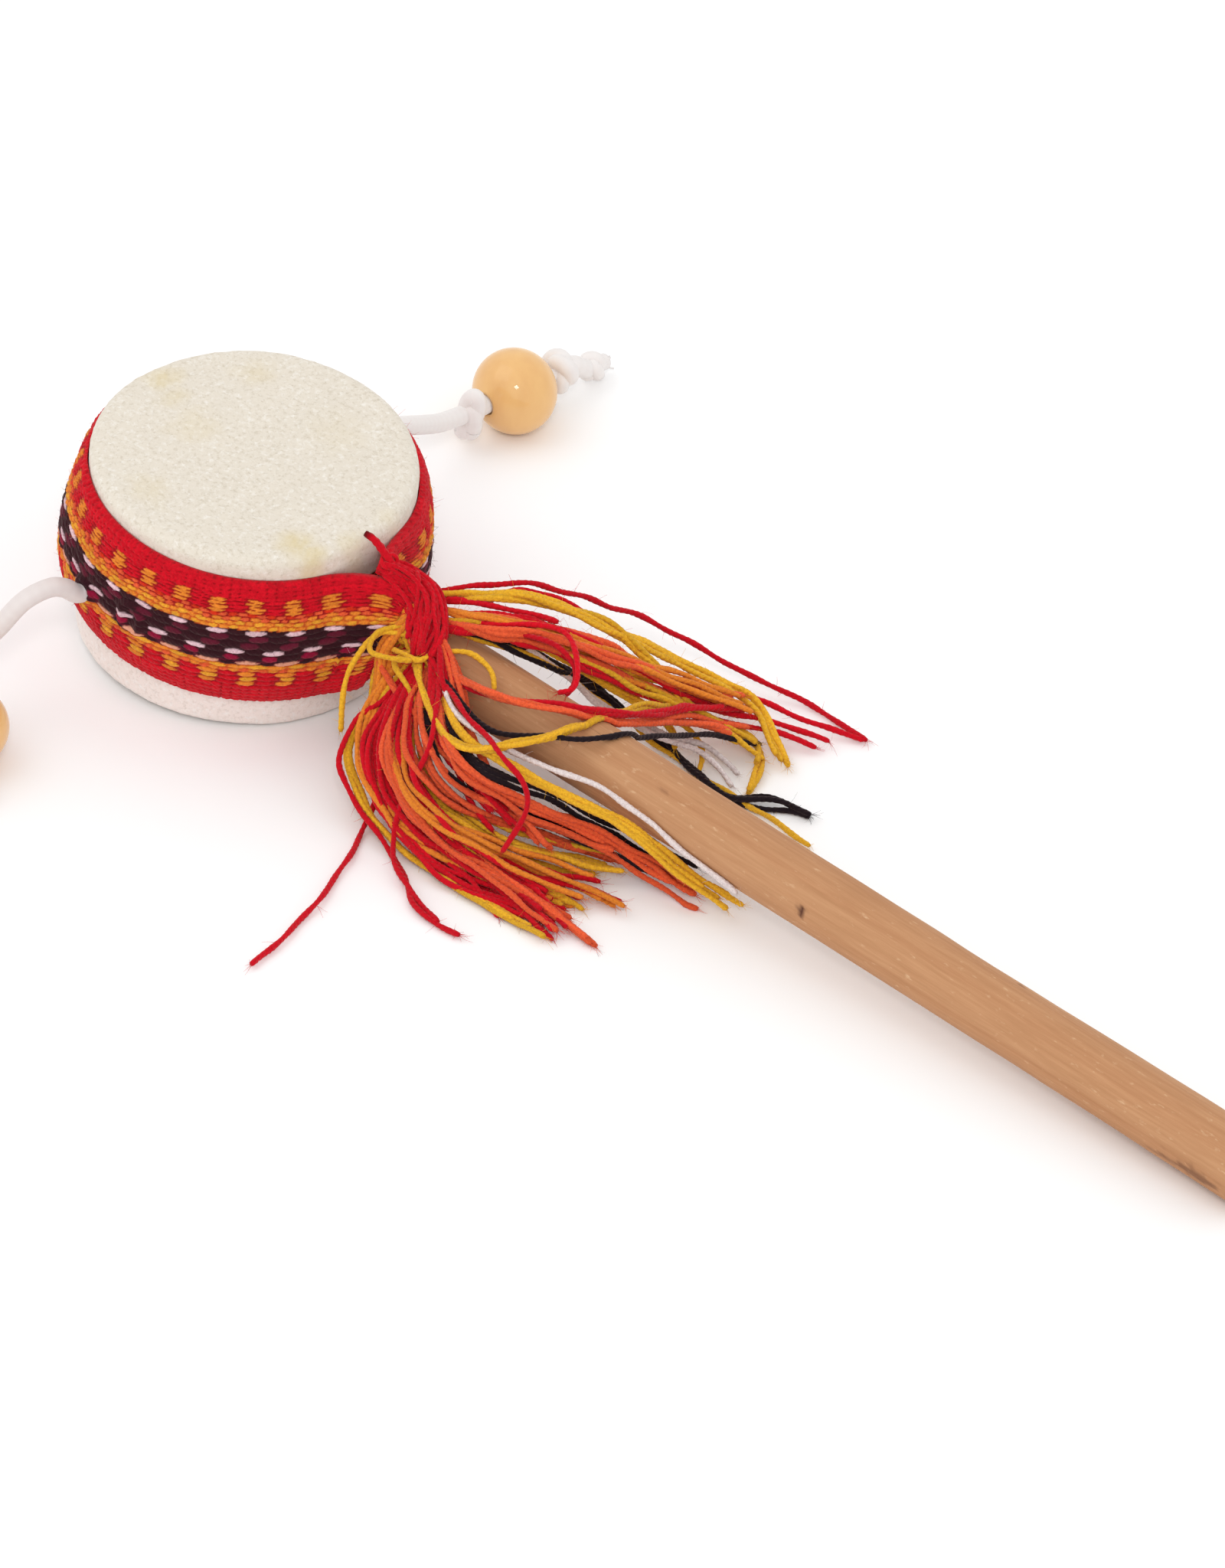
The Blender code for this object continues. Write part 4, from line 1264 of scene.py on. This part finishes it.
def lockLine(side, wool, alone, spread, route, chance):
    # A yarn keeps its own offset from the lock's line, which opens towards the tips, and its own
    # kinks. A tied yarn starts in the tie, and any other is seen to go into it from the band.
    facts = yarnFacts
    root = bandEnd(side, wool, chance)
    pull = unit(np.array(bandEnds[side]["tie"]) - root)
    path = fromFloor(route)
    meeting = toDrum(path[0]) + chance.normal(size=3) * facts["stray"]
    between = root * 0.5 + meeting * 0.5 + pull * 0.5
    between = between + chance.normal(size=3) * facts["crossing"]
    warp = fromDrum([root, root + pull * 1.5, between])
    start = path[:0] if wool in tiedWools else warp
    line = smoothLine(np.vstack([start, path]), facts["step"] * mm)
    share = np.linspace(0, 1, len(line))[:, None]
    along = share * len(line) * facts["step"]
    seeds = [int(chance.integers(1e6)) for _ in range(3)]
    kinks = np.stack([softNoise(along, facts["kinkSize"], seed, 6) for seed in seeds], 1)
    line = line + kinks * facts["kink"] * mm * smoothStep(0.05, 0.3, share)
    if not alone:
        offset = unit(chance.normal(size=3) * [1, 1, 0.6]) * np.sqrt(chance.uniform()) * spread
        late = chance.normal(size=3) * [1, 1, 0.3] * spread * 0.7
        spreading = offset * smoothStep(0.1, 0.45, share) + late * smoothStep(0.4, 1.0, share)
        line = line + spreading * mm
        line = line[: int(len(line) * (1 - chance.uniform(0, facts["unequal"])))]
    return keepOutside(line) / mm


def makeFringe(side, locks, seed):
    # The lines of a lock come first, then each line's yarn and hairs.
    chance = np.random.default_rng(seed)
    groups = {"_fringe_red": [], "_fringe_gold": []}
    for wool, count, spread, *route in locks:
        kept = groups["_fringe_red" if wool in ("crimson", "coral") else "_fringe_gold"]
        lines = [lockLine(side, wool, count == 1, spread, route, chance) for _ in range(count)]
        for line in lines:
            kept.append(yarnTube(line, wool, chance))
            kept.append(yarnHairs(line, wool, chance, yarnFacts["lowestHair"]))
    finish = (lambda points: points * mm, "fringe_wool", yarnWool, side + "_fringe")
    return [woolPiece(side + name, yarns, *finish) for name, yarns in groups.items()]


fringes = makeFringe("near", nearLocks, 7) + makeFringe("far", farLocks, 8)
print("fringe")

# The tie: crimson yarns laid side by side along a saddle that starts at the rim, widens over the
# stick and turns down into the near fringe, with a few looser yarns on it, a small knot and the
# knot's thick loose end, the stub. Places in the drum's own millimetres.
tieFacts = {
    "line": [
        (31.2, -3.2, 15.2), (33.8, -2.0, 14.6), (37.2, -0.6, 12.8), (40.4, -1.0, 11.2),
        (43.6, -3.6, 8.8), (46.0, -6.8, 5.6),
    ],
    "radii": (1.0, 1.6, 2.3, 2.7, 2.8, 2.3),
    "yarns": 44,
    "yarnScale": 0.8,
    "step": 0.4,
    "turn": 0.9,
    "loose": [
        [
            (32.0, -3.6, 16.2), (34.6, -2.6, 16.4), (38.0, -1.8, 15.4), (41.6, -2.6, 13.6),
            (44.6, -5.2, 10.6),
        ],
        [(33.0, -4.2, 14.6), (36.3, -3.8, 13.4), (40.1, -4.4, 11.4), (43.6, -6.6, 8.4)],
        [(32.4, -1.6, 16.0), (35.2, 0.2, 15.4), (38.6, 1.4, 13.6), (42.2, 1.6, 11.2)],
        [(35.8, 1.0, 14.6), (38.6, -1.4, 15.2), (41.0, -4.4, 12.0), (41.8, -7.2, 7.6)],
    ],
    "knot": (32.9, -2.5, 16.0),
    "knotLoop": {"radius": 1.0, "swing": 0.4, "rise": 0.6},
    "knotWays": [(0.5, -0.6, -0.6), (0.77, 0.63, 0.0), (0.38, -0.46, 0.8)],
    "knotStretch": (1.3, 1.0, 1.0),
    "stub": [
        (33.4, -2.2, 16.0), (31.8, -2.4, 17.3), (30.4, -2.7, 18.7), (29.2, -3.0, 19.6),
        (27.7, -3.3, 20.0),
    ],
    "stubScale": 1.45,
    "stubDark": 0.8,
}


def makeTie():
    # Yarns at even angles round a widening core, each wandering a little along its way.
    chance = np.random.default_rng(9)
    facts = tieFacts
    line = smoothLine(facts["line"], facts["step"])
    share = np.linspace(0, 1, len(line))
    radius = np.interp(share, np.linspace(0, 1, len(facts["radii"])), facts["radii"])[:, None]
    side, other = carriedFrame(line)
    # A darker crimson core lies under the yarns: painted shade in the gaps between them.
    yarns = [toned(tubeArrays(line, radius * 0.8, 16), linear(palette["crimson"]) * 0.85)]
    lines = []
    for number in range(facts["yarns"]):
        wander = softNoise(share[:, None], 0.7, 50 + number, 6)[:, None]
        angle = number / facts["yarns"] * 2 * np.pi + share[:, None] * facts["turn"] + wander * 0.25
        out = radius - 0.1 + chance.uniform(-0.3, 0.3) + wander * 0.15
        lines.append(line + (side * np.cos(angle) + other * np.sin(angle)) * out)
    lines += [smoothLine(route, facts["step"]) for route in facts["loose"]]
    knot = trefoil(facts["knotLoop"], 121) * facts["knotStretch"]
    lines.append(knot @ unit(np.array(facts["knotWays"])) + facts["knot"])
    lines.append(smoothLine(facts["stub"], 0.3))
    scales = [facts["yarnScale"]] * (len(lines) - 1) + [facts["stubScale"]]
    for line, scale in zip(lines, scales):
        yarns.append(yarnTube(line, "crimson", chance, scale))
        yarns.append(yarnHairs(line, "crimson", chance, frays=0))
    stub, tone = yarns[-2]
    dark = facts["stubDark"] * smoothStep(0.75, 0.95, np.arange(len(tone)) / len(tone))
    yarns[-2] = stub, tone * (1 - dark)[:, None]
    return woolPiece("tie_knotted", yarns, fromDrum, "tie_wool", yarnWool, "tie_binding")


tie = makeTie()
print("tie")

# Floor and light: a pale sweep under an even sky, a soft key from the left, and a small far lamp
# beside the camera that puts a spark on the varnished beads. Metres and watts.
lightFacts = {
    "floor": 0.98,
    "floorReach": 6.0,
    "sky": 0.85 * lightGain,
    "key": {"place": (-0.7, -0.5, 1.3), "size": 1.1, "power": 2.6 * lightGain},
    "spark": {"lift": 0.14, "distance": 8.0, "size": 1.2, "power": 95.0},
}


def makeFloor(albedo, reach):
    # A square that reaches as far each way, in one grey.
    mesh = bpy.data.meshes.new("floor")
    corners = [(-reach, -reach, 0), (reach, -reach, 0), (reach, reach, 0), (-reach, reach, 0)]
    mesh.from_pydata(corners, [], [(0, 1, 2, 3)])
    material, _ = newMaterial("floor_pale")
    grey = (albedo, albedo, albedo, 1.0)
    mesh.materials.append(finishMaterial(material, grey, Roughness=1.0, Specular_IOR_Level=0.0))
    addObject("floor", mesh)


def makeLight(name, place, size, power):
    # A square lamp that faces the drum's foot and is not seen itself.
    data = bpy.data.lights.new(name, "AREA")
    data.size = size
    data.energy = power
    lamp = addObject(name, data)
    back = unit(np.asarray(place, float))
    aimObject(lamp, unit(np.cross([0.1, 1.0, 0.0], back)), back, place)
    lamp.visible_camera = False


makeFloor(lightFacts["floor"], lightFacts["floorReach"])
key, spark = lightFacts["key"], lightFacts["spark"]
makeLight("key", key["place"], key["size"], key["power"])
sparkWay = unit(cameraWay + spark["lift"] * unit(np.array(cameraView["up"]) @ drumAxes))
makeLight("spark", sparkWay * spark["distance"], spark["size"], spark["power"])
world = bpy.data.worlds.new("studio")
world.use_nodes = True
sky = world.node_tree.nodes["Background"].inputs
sky["Color"].default_value = (1.0, 1.0, 1.0, 1.0)
sky["Strength"].default_value = lightFacts["sky"]
bpy.context.scene.world = world
bpy.context.scene.view_settings.view_transform = "Standard"

print("scene ready")
